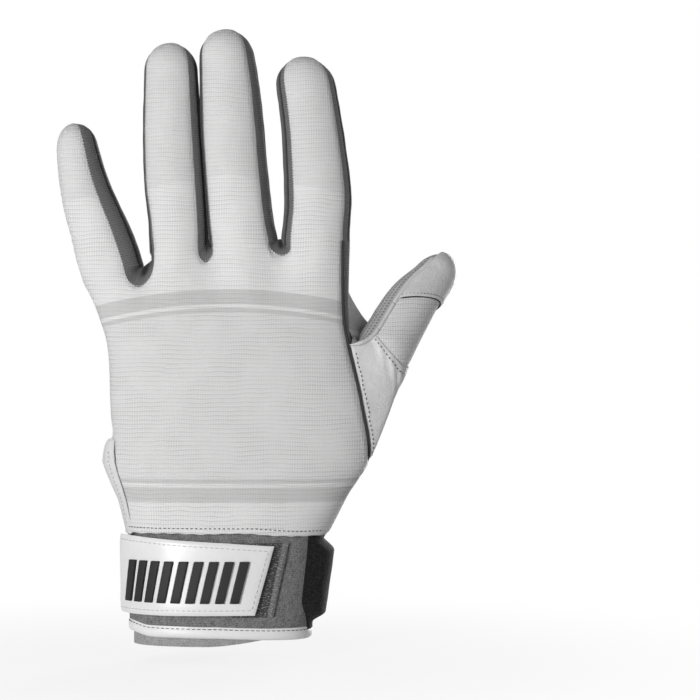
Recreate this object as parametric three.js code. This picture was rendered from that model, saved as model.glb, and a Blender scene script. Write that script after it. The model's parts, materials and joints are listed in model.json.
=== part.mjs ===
// Padded inner glove for a left hand: knit back, leather palm, foam pads, elastic cuff and strap.
// Millimetres. +Z points to the fingertips, -Y out of the back of the hand, +X to the thumb.
// The origin is the centre of the wrist opening, level with the lower edge of the hem.
import * as THREE from "three";

// Cloth, leather and foam
const knitThickness = 1.4;
const leatherThickness = 1.6;
const stripThickness = 1.2;
const foamThickness = 3.2;
const liningThickness = 0.8;
const elasticThickness = 2.2;
const layerGap = 0.3; // between one layer and the next
const foamGap = 0.6; // between the foam and the layers beside it
const seamGap = 0.3; // between two cut edges that are sewn together
const webGap = 0.5; // between a web and the panels it is sewn to
const foldGap = 0.4; // between the two sides of a finger fold

// Digits: where the first fold is, the lean to the thumb side, and the sizes from there to the tip.
// Seams are degrees round the digit from the middle of its back, [little finger side, thumb side].
const fingerLean = 4; // degrees that every finger leans to the palm
const tipTurn = 38; // degrees that a fingertip's closing point is turned to the palm
const tipOpening = 4; // degrees left open round that point
const tipLength = 10.5; // length of the round end
const fingers = {
  index: {
    fold: [37.1, 0, 150], tilt: -5.4, length: 72.5, lowerLength: 17,
    halfWidth: [12.8, 11], halfDepth: [10.8, 9.6], backSeam: [-66, 62], palmSeam: [-108, 106],
    upperPad: 33,
  },
  middle: {
    fold: [7.9, 0, 149.5], tilt: -4.9, length: 83.5, lowerLength: 19,
    halfWidth: [11.8, 10], halfDepth: [10.8, 9.6], backSeam: [-70, 48], palmSeam: [-106, 106],
    upperPad: 30,
  },
  ring: {
    fold: [-17.3, 0, 147], tilt: -1.4, length: 80.5, lowerLength: 18,
    halfWidth: [10.5, 9.9], halfDepth: [10.3, 9.2], backSeam: [-70, 48], palmSeam: [-106, 106],
  },
  little: {
    fold: [-41.9, 0, 139], tilt: -15.4, length: 59.6, lowerLength: 15,
    halfWidth: [10.4, 8.3], halfDepth: [9, 8], backSeam: [-100, 46], palmSeam: [-100, 106],
  },
};
const thumb = {
  fold: [62, 9, 111], tilt: 30, lean: 30, length: 51, lowerLength: 24,
  halfWidth: [11.2, 9.6], halfDepth: [10.6, 9], backSeam: [-58, 92], palmSeam: [-122, 92],
};

// Webs between the fingers: depth of the edges below the folds, half the distance from the back's
// edge to the palm's, and how far the middle of the web rises over its edges
const webs = [
  { name: "web_ring_little", little: "little", thumb: "ring", depth: 9.5, half: 7, rise: 7 },
  { name: "web_middle_ring", little: "ring", thumb: "middle", depth: 4.8, half: 7, rise: 4 },
  { name: "web_index_middle", little: "middle", thumb: "index", depth: 4.2, half: 7, rise: 5 },
];

// Sections of the hand, from under the webs to the cuff. Seams are degrees round the section from
// the middle of the back: little side, then the thumb side's edges of the back and of the palm.
const roundness = 0.86; // 1 is an ellipse, less is squarer
const palmDrop = 4.5; // how far the palm's lower edge is below the back's
const sections = [
  { z: 122, x: 1, half: 47.5, back: 13, palm: 14.5, seam: -100, backEdge: 72, palmEdge: 106 },
  { z: 112, x: 3, half: 46.6, back: 14, palm: 16.5, seam: -99, backEdge: 84, palmEdge: 92 },
  { z: 90, x: 7, half: 49.5, back: 15.5, palm: 20, seam: -95, backEdge: 62, palmEdge: 128 },
  { z: 68, x: 5.4, half: 50.6, back: 17.5, palm: 22, seam: -76, backEdge: 84, palmEdge: 92 },
  { z: 54, x: 3.4, half: 44, back: 19.5, palm: 22, seam: -74, backEdge: 100, palmEdge: 110 },
  { z: 40, x: 1.2, half: 39.2, back: 21, palm: 22, seam: -78, backEdge: 108, palmEdge: 118, drop: palmDrop },
];
const crotch = 1; // section where the thumb starts
const thumbEnd = 3; // section where the thumb ends
const gussetEnd = 0.1; // share of a section between a gusset and the thumb's root
const fingerSlope = 6; // distance up a finger that sets the slope of the hand below it
const rootBend = 0.35; // share of the thumb's root that runs straight at each of its ends

// Pads: the stretch of a finger, or of the palm, that each one fills
const padEnd = 2.5; // from a pad to the nearest fold
const padWidth = 98; // degrees round the finger
const padSwell = 1.6; // how far the leather stands up over a pad
const padCrown = 0.7; // share of that height that the foam's own crown fills
const palmPad = { first: 0.05, last: 0.58, top: 0.4, bottom: 2.95, corner: 1.05 };

// Cuff, hem, strap and tabs
const cuffLap = 5; // height of the band that is tucked under the panels
const lapGap = 1; // between the tucked band and the panels over it
const hemHeight = 6;
const hemThickness = 3.2;
const hemRise = 0.4; // how far the hem stands out past the band
const hem = { x: -0.6, half: 34.4, back: 19.5, palm: 20 };
const bandEdges = { little: -91, thumbBack: 56, thumbPalm: 128 };
const strap = { low: 9.5, high: 38, thickness: 2.2, start: -90, lowEnd: 19, highEnd: 30 };
const hook = { thickness: 1.1, start: 6, past: 11, inset: 1.2 };
const grip = { thickness: 1.0, start: -62, end: 10, inset: 6.5 };
const sidePatch = { swell: 3.8, height: 0.72 };
const tab = { top: 34.4, below: 7, topHalf: 18.6, lowHalf: 13, topX: -3.2, lowX: -5, thickness: 2 };

// Colours
const cloth = (color, roughness) => new THREE.MeshStandardMaterial({ color, roughness, metalness: 0 });
const materials = {
  knit: cloth(0xe6e6e7, 0.9),
  leather: cloth(0xe2e2e2, 0.55),
  strip: cloth(0x4a4a4c, 0.85),
  foam: cloth(0xc9c4b4, 0.95),
  lining: cloth(0xd8d8d8, 0.95),
  elastic: cloth(0x808082, 0.95),
  binding: cloth(0xf0f0f0, 0.5),
  loop: cloth(0x161617, 0.95),
  strap: cloth(0xf2f2f2, 0.4),
  hook: cloth(0x4c4c4e, 0.9),
  rubber: cloth(0x1d1d1f, 0.5),
  webbing: cloth(0x0d0e10, 0.85),
};

const glove = new THREE.Group();
glove.name = "padded_inner_glove";
const fingerColumns = 5;
const webColumns = 6;
const webDepthColumns = 4;
const thumbRows = 6;
const radians = THREE.MathUtils.degToRad;
const mix = THREE.MathUtils.lerp;
const steps = (count) => Array.from({ length: count + 1 }, (_, i) => i / count);

// A closed sheet between two grids of points: one is its outer face, the other its inner face.
function sheetGeometry(outer, inner) {
  const rows = outer.length;
  const columns = outer[0].length;
  const points = [...outer.flat(), ...inner.flat()].flatMap((p) => p.toArray());
  const at = (face, row, column) => (face * rows + row) * columns + column;
  const triangles = [];
  const quad = (a, b, c, d) => triangles.push(a, b, c, a, c, d);
  for (let row = 0; row < rows - 1; row++) {
    for (let column = 0; column < columns - 1; column++) {
      quad(at(0, row, column), at(0, row, column + 1), at(0, row + 1, column + 1), at(0, row + 1, column));
      quad(at(1, row, column), at(1, row + 1, column), at(1, row + 1, column + 1), at(1, row, column + 1));
    }
    quad(at(0, row, 0), at(0, row + 1, 0), at(1, row + 1, 0), at(1, row, 0));
    const last = columns - 1;
    quad(at(0, row, last), at(1, row, last), at(1, row + 1, last), at(0, row + 1, last));
  }
  for (let column = 0; column < columns - 1; column++) {
    const last = rows - 1;
    quad(at(0, 0, column), at(1, 0, column), at(1, 0, column + 1), at(0, 0, column + 1));
    quad(at(0, last, column), at(0, last, column + 1), at(1, last, column + 1), at(1, last, column));
  }
  const geometry = new THREE.BufferGeometry();
  geometry.setAttribute("position", new THREE.Float32BufferAttribute(points, 3));
  geometry.setIndex(triangles);
  return geometry;
}

// A closed band round a ring of points, from two grids whose rows close on themselves.
function ringGeometry(outer, inner) {
  const rows = outer.length;
  const columns = outer[0].length;
  const points = [...outer.flat(), ...inner.flat()].flatMap((p) => p.toArray());
  const at = (face, row, column) => (face * rows + row) * columns + (column % columns);
  const triangles = [];
  const quad = (a, b, c, d) => triangles.push(a, b, c, a, c, d);
  for (let column = 0; column < columns; column++) {
    for (let row = 0; row < rows - 1; row++) {
      quad(at(0, row, column), at(0, row, column + 1), at(0, row + 1, column + 1), at(0, row + 1, column));
      quad(at(1, row, column), at(1, row + 1, column), at(1, row + 1, column + 1), at(1, row, column + 1));
    }
    const last = rows - 1;
    quad(at(0, 0, column), at(1, 0, column), at(1, 0, column + 1), at(0, 0, column + 1));
    quad(at(0, last, column), at(0, last, column + 1), at(1, last, column + 1), at(1, last, column));
  }
  const geometry = new THREE.BufferGeometry();
  geometry.setAttribute("position", new THREE.Float32BufferAttribute(points, 3));
  geometry.setIndex(triangles);
  return geometry;
}

function addPiece(name, geometry, material) {
  const mesh = new THREE.Mesh(geometry, material);
  mesh.name = name;
  glove.add(mesh);
}

// A sheet piece from a function that gives its grid at a depth below the glove's outer face.
function addSheet(name, grid, outerDepth, innerDepth, material) {
  addPiece(name, sheetGeometry(grid(outerDepth), grid(innerDepth)), material);
}

// The digit's own directions: along it, out of its back, and across to the thumb side.
function digitFrame(digit) {
  const tilt = radians(digit.tilt);
  const lean = radians(digit.lean ?? fingerLean);
  const along = new THREE.Vector3(
    Math.sin(tilt) * Math.cos(lean),
    Math.sin(lean),
    Math.cos(tilt) * Math.cos(lean),
  );
  const back = new THREE.Vector3(0, -1, 0).addScaledVector(along, along.y).normalize();
  const across = new THREE.Vector3().crossVectors(along, back);
  return { along, back, across };
}
for (const digit of [...Object.values(fingers), thumb]) {
  Object.assign(digit, digitFrame(digit));
  digit.straight = digit.length - tipLength;
  digit.end = digit.straight + tipLength * radians(90 - tipOpening);
}

// A point of a digit: a distance along it from its first fold, an angle round it from the middle of
// its back, and a depth below its outer face. Past the straight part it goes over the round tip.
function digitPoint(digit, distance, angle, depth) {
  const share = Math.min(distance / digit.straight, 1);
  const halfWidth = mix(...digit.halfWidth, share) - depth;
  const halfDepth = mix(...digit.halfDepth, share) - depth;
  const rise = Math.max(distance - digit.straight, 0) / tipLength;
  const turn = (radians(tipTurn) * rise) / (Math.PI / 2);
  const across = Math.cos(rise) * Math.sin(radians(angle));
  const out = Math.cos(rise) * Math.cos(radians(angle));
  const ahead = Math.sin(rise);
  return new THREE.Vector3(...digit.fold)
    .addScaledVector(digit.along, Math.min(distance, digit.straight))
    .addScaledVector(digit.across, halfWidth * across)
    .addScaledVector(digit.back, halfDepth * (out * Math.cos(turn) - ahead * Math.sin(turn)))
    .addScaledVector(digit.along, (tipLength - depth) * (ahead * Math.cos(turn) + out * Math.sin(turn)));
}

// Degrees that half a seam's gap takes up round a digit
const seamAngle = (digit) => THREE.MathUtils.radToDeg(seamGap / 2 / digit.halfWidth[1]);

// The grid of one panel of a digit, between two distances and two angles. swell lifts the panel.
function digitGrid(digit, [from, to], [first, last], rows, columns, swell = () => 0) {
  const edge = seamAngle(digit);
  return (depth) =>
    steps(rows).map((v) =>
      steps(columns).map((u) => {
        const distance = mix(from, to, v);
        const angle = mix(first + edge, last - edge, u);
        return digitPoint(digit, distance, angle, depth - swell(distance, angle));
      }),
    );
}

// A point of the hand's own surface at one of its sections.
function sectionPoint(section, angle, depth) {
  const power = (value) => Math.sign(value) * Math.abs(value) ** roundness;
  const out = Math.cos(radians(angle));
  const reach = (out > 0 ? section.back : section.palm) - depth;
  return new THREE.Vector3(
    section.x + (section.half - depth) * power(Math.sin(radians(angle))),
    -reach * power(out),
    section.z - (section.drop ?? 0) * THREE.MathUtils.smoothstep(-out, 0, 0.6),
  );
}

// A point on the edge of a web, from the finger on its little side (0) to the other finger (1).
function webPoint(web, side, share, depth) {
  const little = fingers[web.little];
  const thumbward = fingers[web.thumb];
  const edgeOf = (digit, seams) => digitPoint(digit, -foldGap / 2, seams, depth);
  const first = edgeOf(little, side === "back" ? little.backSeam[1] : little.palmSeam[1]);
  const last = edgeOf(thumbward, side === "back" ? thumbward.backSeam[0] : thumbward.palmSeam[0]);
  const middle = first.clone().lerp(last, 0.5);
  const arc = Math.PI * share;
  const down = little.along.clone().add(thumbward.along).normalize().negate();
  const point = middle
    .clone()
    .addScaledVector(last.clone().sub(first), -0.5 * Math.cos(arc))
    .addScaledVector(down, (web.depth + depth) * Math.sin(arc));
  const edge = (web.half - depth) * (side === "back" ? -1 : 1);
  point.y += (edge - middle.y) * Math.sin(arc);
  return point;
}

// The columns of a hand panel run from the cuff to its upper edge, along the fingers' folds and the
// webs. Each has its upper end, a point past it that sets its slope, and its place across the hand.
function panelColumns(side) {
  const order = ["little", "ring", "middle", "index"];
  const columns = [];
  order.forEach((name, i) => {
    const digit = fingers[name];
    const edge = seamAngle(digit);
    const first = side === "back" ? digit.backSeam[0] + edge : digit.palmSeam[0] - edge;
    const last = side === "back" ? digit.backSeam[1] - edge : digit.palmSeam[1] + edge - 360;
    for (const u of steps(fingerColumns)) {
      const angle = mix(first, last, u);
      columns.push({
        place: digit.fold[0] + digit.halfWidth[0] * mix(-1, 1, u),
        top: (depth) => digitPoint(digit, -foldGap / 2, angle, depth),
        past: (depth) => digitPoint(digit, fingerSlope, angle, depth),
      });
    }
    const web = webs[i];
    if (!web) return;
    const next = fingers[order[i + 1]];
    for (const u of steps(webColumns).slice(1, -1)) {
      const from = digit.fold[0] + digit.halfWidth[0];
      const to = next.fold[0] - next.halfWidth[0];
      columns.push({ place: mix(from, to, u), top: (depth) => webPoint(web, side, u, depth) });
    }
  });
  const left = columns[0].place;
  const right = columns.at(-1).place;
  for (const column of columns) {
    const across = (2 * (column.place - left)) / (right - left) - 1;
    column.turn = Math.asin(THREE.MathUtils.clamp(across, -1, 1)) / (Math.PI / 2);
  }
  return side === "back" ? columns : columns.reverse();
}

// Degrees that half a seam's gap takes up round a section
const sectionSeam = (section) => THREE.MathUtils.radToDeg(seamGap / 2 / section.back);

// The angle round a section of one column of the back or the palm.
function columnAngle(side, section, turn) {
  const edge = sectionSeam(section);
  const back = turn < 0 ? -section.seam : section.backEdge;
  const palm = turn < 0 ? 180 + section.seam : 180 - section.palmEdge;
  return side === "back" ? turn * (back - edge) : 180 - turn * (palm - edge);
}

// A smooth line down the hand through its upper end and every section.
function columnCurve(column, angleAt, depth) {
  const top = column.top(depth);
  const below = sections.map((section) => sectionPoint(section, angleAt(section), depth));
  const past = column.past ? column.past(depth) : top.clone().multiplyScalar(2).sub(below[0]);
  return new THREE.CatmullRomCurve3([past, top, ...below]);
}

// Rows of the hand count sections: 0 is the upper edge, 1 the first section, and so on.
const curvePoint = (curve, row) => curve.getPoint((row + 1) / (curve.points.length - 1));

// The grid of a hand panel, or of a layer under a stretch of it. rowAt gives the row from the
// shares up and across, swell the height that the surface is raised by there.
function panelGrid(side, rows, { first = 0, last = 1, rowAt = (v) => v, swell = () => 0 } = {}) {
  const all = panelColumns(side);
  const columns = all.slice(Math.round(first * (all.length - 1)), Math.round(last * (all.length - 1)) + 1);
  const place = (i) => i / (columns.length - 1);
  return (depth) => {
    const curvesAt = (level) =>
      columns.map((column) =>
        columnCurve(column, (section) => columnAngle(side, section, column.turn), level),
      );
    const flat = curvesAt(depth);
    const raised = curvesAt(depth - 1);
    return rows.map((v) =>
      flat.map((curve, i) => {
        const row = rowAt(v, place(i));
        const point = curvePoint(curve, row);
        return point.lerp(curvePoint(raised[i], row), swell(row, all.indexOf(columns[i]) / (all.length - 1)));
      }),
    );
  };
}

// The gap on the thumb side, between the edges of the back and of the palm: share 0 is the back's.
function edgeCurve(share, depth) {
  const { index } = fingers;
  const between = (first, last, edge) => mix(first + edge, last - edge, share);
  const angle = between(index.backSeam[1], index.palmSeam[1], seamAngle(index));
  const column = {
    top: (level) => digitPoint(index, -foldGap / 2, angle, level),
    past: (level) => digitPoint(index, fingerSlope, angle, level),
  };
  const angleAt = (section) => between(section.backEdge, section.palmEdge, sectionSeam(section));
  return columnCurve(column, angleAt, depth);
}
function edgeGrid(rows, columns) {
  return (depth) => {
    const curves = steps(columns).map((u) => edgeCurve(u, depth));
    return rows.map((row) => curves.map((curve) => curvePoint(curve, row)));
  };
}

// The hand's panels and the two gussets on the thumb side
const crotchRow = crotch + 1;
const thumbEndRow = thumbEnd + 1;
const cuffRow = sections.length;
const fingerRows = [1.5, 1, 0.75, 0.5, 0.2, 0];
const heelRows = [cuffRow, 5];
const besideThumb = steps(thumbRows).map((v) => mix(thumbEndRow, crotchRow, v));
const handRows = [...heelRows, ...besideThumb, ...fingerRows];
const bump = (share) => Math.max(0, 1 - Math.abs(2 * share - 1) ** 3);
const palmSwell = (row, place) =>
  padSwell *
  bump((place - palmPad.first) / (palmPad.last - palmPad.first)) *
  bump((row - palmPad.top) / (palmPad.bottom - palmPad.top));
addSheet("back_panel", panelGrid("back", handRows), 0, knitThickness, materials.knit);
addSheet("palm_panel", panelGrid("palm", handRows, { swell: palmSwell }), 0, leatherThickness, materials.leather);
const indexGusset = edgeGrid([crotchRow - gussetEnd, ...fingerRows], 2);
const wristGusset = edgeGrid([...heelRows, thumbEndRow + gussetEnd], 2);
addSheet("index_gusset", indexGusset, 0, stripThickness, materials.strip);
addSheet("wrist_gusset", wristGusset, 0, stripThickness, materials.elastic);

// The foam in the palm under the leather, and the lining that faces the hand
const palmFoamTop = leatherThickness + foamGap;
const palmFoamBottom = palmFoamTop + foamThickness;
const palmPadArea = {
  first: palmPad.first,
  last: palmPad.last,
  rowAt: (v, u) => mix(palmPad.bottom - palmPad.corner * Math.abs(2 * u - 1) ** 1.8, palmPad.top, v),
};
const palmCrown = (row, place) => padCrown * palmSwell(row, place);
const palmFoamUpper = panelGrid("palm", steps(6), { ...palmPadArea, swell: palmCrown });
const palmFoamUnder = panelGrid("palm", steps(6), palmPadArea);
const palmFoam = sheetGeometry(palmFoamUpper(palmFoamTop), palmFoamUnder(palmFoamBottom));
addPiece("palm_foam", palmFoam, materials.foam);
const palmLiningTop = palmFoamBottom + foamGap;
addSheet(
  "palm_lining",
  panelGrid("palm", steps(6), { first: 0.06, last: 0.94, rowAt: (v) => mix(cuffRow - 0.7, palmPad.top, v) }),
  palmLiningTop,
  palmLiningTop + liningThickness,
  materials.lining,
);

// Webs: the strip between two fingers, from the back panel's edge to the palm panel's edge
function webGrid(web) {
  const little = fingers[web.little];
  const thumbward = fingers[web.thumb];
  return (depth) =>
    steps(webColumns).map((v) => {
      const back = webPoint(web, "back", v, depth);
      const palm = webPoint(web, "palm", v, depth);
      const clear = webGap / back.distanceTo(palm);
      const digit = v < 0.5 ? little : thumbward;
      const seam = v < 0.5 ? 1 : 0;
      const end = Math.round(v);
      const endBack = webPoint(web, "back", end, depth);
      const endPalm = webPoint(web, "palm", end, depth);
      const middle = Math.sin(Math.PI * v);
      return steps(webDepthColumns).map((u) => {
        const share = mix(1 - clear, clear, u);
        const angle = mix(digit.backSeam[seam], digit.palmSeam[seam], share);
        const round = digitPoint(digit, -foldGap / 2, angle, depth);
        const straight = endBack.clone().lerp(endPalm, share);
        const point = back.clone().lerp(palm, share).addScaledVector(round.sub(straight), 1 - middle);
        point.z += web.rise * middle * middle * Math.sin(Math.PI * share);
        return point;
      });
    });
}
for (const web of webs) addSheet(web.name, webGrid(web), 0, stripThickness, materials.strip);

// Finger pads: a crowned piece of foam under the leather on the palm side of the finger
function padSwellOver([from, to], height = padSwell) {
  return (distance, angle) => {
    const along = bump((distance - from) / (to - from));
    const across = bump((angle - 180) / padWidth + 0.5);
    return height * along * across;
  };
}
function addPad(name, digit, stretch, rows) {
  const angles = [180 - padWidth / 2, 180 + padWidth / 2];
  const top = leatherThickness + foamGap;
  const crowned = digitGrid(digit, stretch, angles, rows, 4, padSwellOver(stretch, padCrown * padSwell));
  const plain = digitGrid(digit, stretch, angles, rows, 4);
  addPiece(name, sheetGeometry(crowned(top), plain(top + foamThickness)), materials.foam);
}

// One stretch of a digit between two folds: its knit back, leather front, and strips at the sides
function addStretch(name, part, digit, stretch, rows, pad) {
  const [backLittle, backThumb] = digit.backSeam;
  const [palmLittle, palmThumb] = digit.palmSeam;
  const swell = pad ? padSwellOver(pad) : undefined;
  const back = digitGrid(digit, stretch, [backLittle, backThumb], rows, fingerColumns);
  const palm = digitGrid(digit, stretch, [palmThumb, palmLittle + 360], rows, 6, swell);
  addSheet(`${name}_back_${part}`, back, 0, knitThickness, materials.knit);
  addSheet(`${name}_palm_${part}`, palm, 0, leatherThickness, materials.leather);
  const thumbStrip = digitGrid(digit, stretch, [backThumb, palmThumb], rows, 2);
  addSheet(`${name}_thumbward_strip_${part}`, thumbStrip, 0, stripThickness, materials.strip);
  if (palmLittle < backLittle) {
    const littleStrip = digitGrid(digit, stretch, [palmLittle, backLittle], rows, 2);
    addSheet(`${name}_outer_strip_${part}`, littleStrip, 0, stripThickness, materials.strip);
  }
  if (pad) addPad(`${name}_pad_${part}`, digit, pad, part === "lower" ? 4 : 6);
}
for (const [name, digit] of Object.entries(fingers)) {
  const lower = [foldGap / 2, digit.lowerLength - foldGap / 2];
  const upper = [digit.lowerLength + foldGap / 2, digit.end];
  const lowerPad = [lower[0] + padEnd, lower[1] - padEnd];
  const upperPad = [upper[0] + padEnd, upper[0] + padEnd + digit.upperPad];
  addStretch(name, "lower", digit, lower, 4, lowerPad);
  addStretch(name, "upper", digit, upper, 9, digit.upperPad ? upperPad : undefined);
}

// Thumb: a leather root on the hand, a knit and leather middle, and a leather cap
function thumbRootGrid(depth) {
  const count = 2 * thumbRows;
  const curves = [0, 0.5, 1].map((share) => edgeCurve(share, depth));
  const loop = Array.from({ length: count }, (_, k) => {
    const share = k % thumbRows === 0 ? 1 : k < thumbRows ? 0 : 2;
    const downward = k <= thumbRows ? k / thumbRows : 2 - k / thumbRows;
    const start = curvePoint(curves[share], mix(crotchRow, thumbEndRow, downward));
    const end = digitPoint(thumb, -foldGap / 2, -90 + (360 * k) / count, depth);
    const reach = start.distanceTo(end);
    const outward = new THREE.Vector3(1, 0.5 * (1 - share) * Math.sin(Math.PI * downward), 0).normalize();
    const first = start.clone().addScaledVector(outward, seamGap);
    const bend = start.clone().addScaledVector(outward, reach * rootBend);
    const entry = end.clone().addScaledVector(thumb.along, -reach * rootBend);
    return new THREE.CubicBezierCurve3(first, bend, entry, end);
  });
  return steps(5).map((v) => loop.map((curve) => curve.getPoint(v)));
}
addPiece(
  "thumb_root",
  ringGeometry(thumbRootGrid(0), thumbRootGrid(leatherThickness)),
  materials.leather,
);
const [thumbBackInner, thumbBackOuter] = thumb.backSeam;
const thumbPalmInner = thumb.palmSeam[0];
const thumbLower = [foldGap / 2, thumb.lowerLength - foldGap / 2];
const thumbUpper = [thumb.lowerLength + foldGap / 2, thumb.end];
const thumbPieces = [
  ["thumb_back_lower", thumbLower, [thumbBackInner, thumbBackOuter], 4, 6, knitThickness, "knit"],
  ["thumb_palm_lower", thumbLower, [thumbBackOuter, thumbPalmInner + 360], 4, 6, leatherThickness, "leather"],
  ["thumb_strip_lower", thumbLower, [thumbPalmInner, thumbBackInner], 4, 3, stripThickness, "strip"],
  ["thumb_cap", thumbUpper, [thumbBackInner, thumbPalmInner + 360], 7, 12, leatherThickness, "leather"],
  ["thumb_strip_upper", thumbUpper, [thumbPalmInner, thumbBackInner], 7, 3, stripThickness, "strip"],
];
for (const [name, stretch, angles, rows, columns, thickness, material] of thumbPieces) {
  addSheet(name, digitGrid(thumb, stretch, angles, rows, columns), 0, thickness, materials[material]);
}

// Cuff: its upper edge is tucked under the panels, so it is smaller than they are by their thickness
const lastSection = sections.at(-1);
const sectionAbove = sections.at(-2);
const lapShare = cuffLap / (sectionAbove.z - lastSection.z);
const underPanel = (size, cover) =>
  Math.min(lastSection[size], mix(lastSection[size], sectionAbove[size], lapShare)) - cover - lapGap;
const cuffTop = {
  x: lastSection.x,
  half: underPanel("half", leatherThickness),
  back: underPanel("back", knitThickness),
  palm: underPanel("palm", leatherThickness),
};
function cuffPoint(z, angle, depth) {
  const share = THREE.MathUtils.clamp((z - hemHeight) / (lastSection.z - hemHeight), 0, 1);
  const section = { z };
  for (const size of ["x", "half", "back", "palm"]) section[size] = mix(hem[size], cuffTop[size], share);
  return sectionPoint(section, angle, depth);
}
const cuffSeam = THREE.MathUtils.radToDeg(seamGap / 2 / hem.back);
const bandLow = hemHeight + layerGap;
const bandHigh = lastSection.z + cuffLap;
function cuffGrid(low, high, anglesAt, rows, columns, lift = () => 0) {
  return (depth) =>
    steps(rows).map((v) => {
      const z = mix(low, high, v);
      const [first, last] = anglesAt(z, v);
      return steps(columns).map((u) => cuffPoint(z, mix(first, last, u), depth - lift(v, u)));
    });
}
const { little, thumbBack, thumbPalm } = bandEdges;
const backBand = cuffGrid(bandLow, bandHigh, () => [little + cuffSeam, thumbBack - cuffSeam], 4, 16);
const palmBand = cuffGrid(bandLow, bandHigh, () => [thumbPalm + cuffSeam, little + 360 - cuffSeam], 4, 16);
const sideSwell = (v) => sidePatch.swell * bump(v / sidePatch.height);
const sideBand = cuffGrid(bandLow, bandHigh, () => [thumbBack + cuffSeam, thumbPalm - cuffSeam], 8, 8, sideSwell);
addSheet("cuff_back_band", backBand, 0, elasticThickness, materials.elastic);
addSheet("cuff_palm_band", palmBand, 0, elasticThickness, materials.elastic);
addSheet("cuff_side_patch", sideBand, 0, elasticThickness, materials.loop);

// Hem: a binding round the wrist opening
const hemRing = (depth) =>
  [0, hemHeight].map((z) => steps(40).slice(0, -1).map((u) => cuffPoint(z, 360 * u, depth)));
addPiece("hem_binding", ringGeometry(hemRing(-hemRise), hemRing(hemThickness - hemRise)), materials.binding);

// Closure strap, sewn in at the little finger's side, with its hook tape and a ribbed grip
const strapEnd = (z) => mix(strap.lowEnd, strap.highEnd, (z - strap.low) / (strap.high - strap.low));
const overHook = (v, u) => layerGap + (hook.thickness + layerGap) * THREE.MathUtils.smoothstep(u, 0.3, 0.6);
const strapGrid = cuffGrid(strap.low, strap.high, (z) => [strap.start, strapEnd(z)], 3, 18, overHook);
addSheet("closure_strap", strapGrid, -strap.thickness, 0, materials.strap);
const hookGrid = cuffGrid(
  strap.low + hook.inset,
  strap.high - hook.inset,
  (z) => [hook.start, strapEnd(z) + hook.past],
  3,
  6,
  () => layerGap,
);
addSheet("strap_hook_tape", hookGrid, -hook.thickness, 0, materials.hook);
const gripLift = 3 * layerGap + hook.thickness + strap.thickness;
const gripGrid = cuffGrid(
  strap.low + grip.inset,
  strap.high - grip.inset,
  () => [grip.start, grip.end],
  2,
  10,
  () => gripLift,
);
addSheet("strap_grip", gripGrid, -grip.thickness, 0, materials.rubber);

// Pull tab: hangs from under the palm's lower edge, past the hem
const tabLift = hemRise + layerGap;
const tabAngle = (z, x) => {
  const share = THREE.MathUtils.clamp((z - hemHeight) / (lastSection.z - hemHeight), 0, 1);
  const across = (x - mix(hem.x, cuffTop.x, share)) / mix(hem.half, cuffTop.half, share);
  return 180 - THREE.MathUtils.radToDeg(Math.asin(Math.sign(across) * Math.abs(across) ** (1 / roundness)));
};
const tabAngles = (z, v) => {
  const half = mix(tab.lowHalf, tab.topHalf, v);
  const x = mix(tab.lowX, tab.topX, v);
  return [tabAngle(z, x + half), tabAngle(z, x - half)];
};
const tabGrid = cuffGrid(-tab.below, tab.top, tabAngles, 5, 8, () => tabLift);
addSheet("pull_tab", tabGrid, -tab.thickness, 0, materials.webbing);

export default glove;
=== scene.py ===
import json
import math

import bpy
import numpy as np
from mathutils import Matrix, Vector, noise
from mathutils.bvhtree import BVHTree

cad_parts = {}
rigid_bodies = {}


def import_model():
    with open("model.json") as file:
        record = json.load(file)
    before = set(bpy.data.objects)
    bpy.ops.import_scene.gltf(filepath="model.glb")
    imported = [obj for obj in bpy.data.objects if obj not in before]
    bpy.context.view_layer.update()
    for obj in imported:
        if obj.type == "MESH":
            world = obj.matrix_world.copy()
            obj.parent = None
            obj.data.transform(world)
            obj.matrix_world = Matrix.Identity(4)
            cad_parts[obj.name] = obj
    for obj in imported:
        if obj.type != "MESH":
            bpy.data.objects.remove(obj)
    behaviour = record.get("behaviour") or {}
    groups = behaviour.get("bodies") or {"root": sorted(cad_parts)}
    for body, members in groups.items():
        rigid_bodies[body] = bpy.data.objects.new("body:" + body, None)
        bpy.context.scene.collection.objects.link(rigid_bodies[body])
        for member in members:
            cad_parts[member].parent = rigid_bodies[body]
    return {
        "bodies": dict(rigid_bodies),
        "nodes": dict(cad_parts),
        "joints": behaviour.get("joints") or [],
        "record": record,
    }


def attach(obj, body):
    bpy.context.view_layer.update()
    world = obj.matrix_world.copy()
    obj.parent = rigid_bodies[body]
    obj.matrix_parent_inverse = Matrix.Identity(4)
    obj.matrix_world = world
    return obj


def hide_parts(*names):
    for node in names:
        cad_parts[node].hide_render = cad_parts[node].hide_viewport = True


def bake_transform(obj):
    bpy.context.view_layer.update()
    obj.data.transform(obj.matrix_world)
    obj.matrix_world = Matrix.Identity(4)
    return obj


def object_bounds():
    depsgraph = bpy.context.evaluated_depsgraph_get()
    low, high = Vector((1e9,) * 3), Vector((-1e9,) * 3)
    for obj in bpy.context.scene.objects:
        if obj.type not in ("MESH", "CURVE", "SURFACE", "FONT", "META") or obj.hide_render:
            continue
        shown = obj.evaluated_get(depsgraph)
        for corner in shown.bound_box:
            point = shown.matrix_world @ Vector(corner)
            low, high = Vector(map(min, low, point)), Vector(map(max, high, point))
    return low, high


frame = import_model()
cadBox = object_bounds()
print("frame loaded:", len(frame["nodes"]), "nodes")

# Sizes are in millimetres, angles in degrees. Meshes are made in metres.
mm = 0.001
scene = bpy.context.scene


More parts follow.
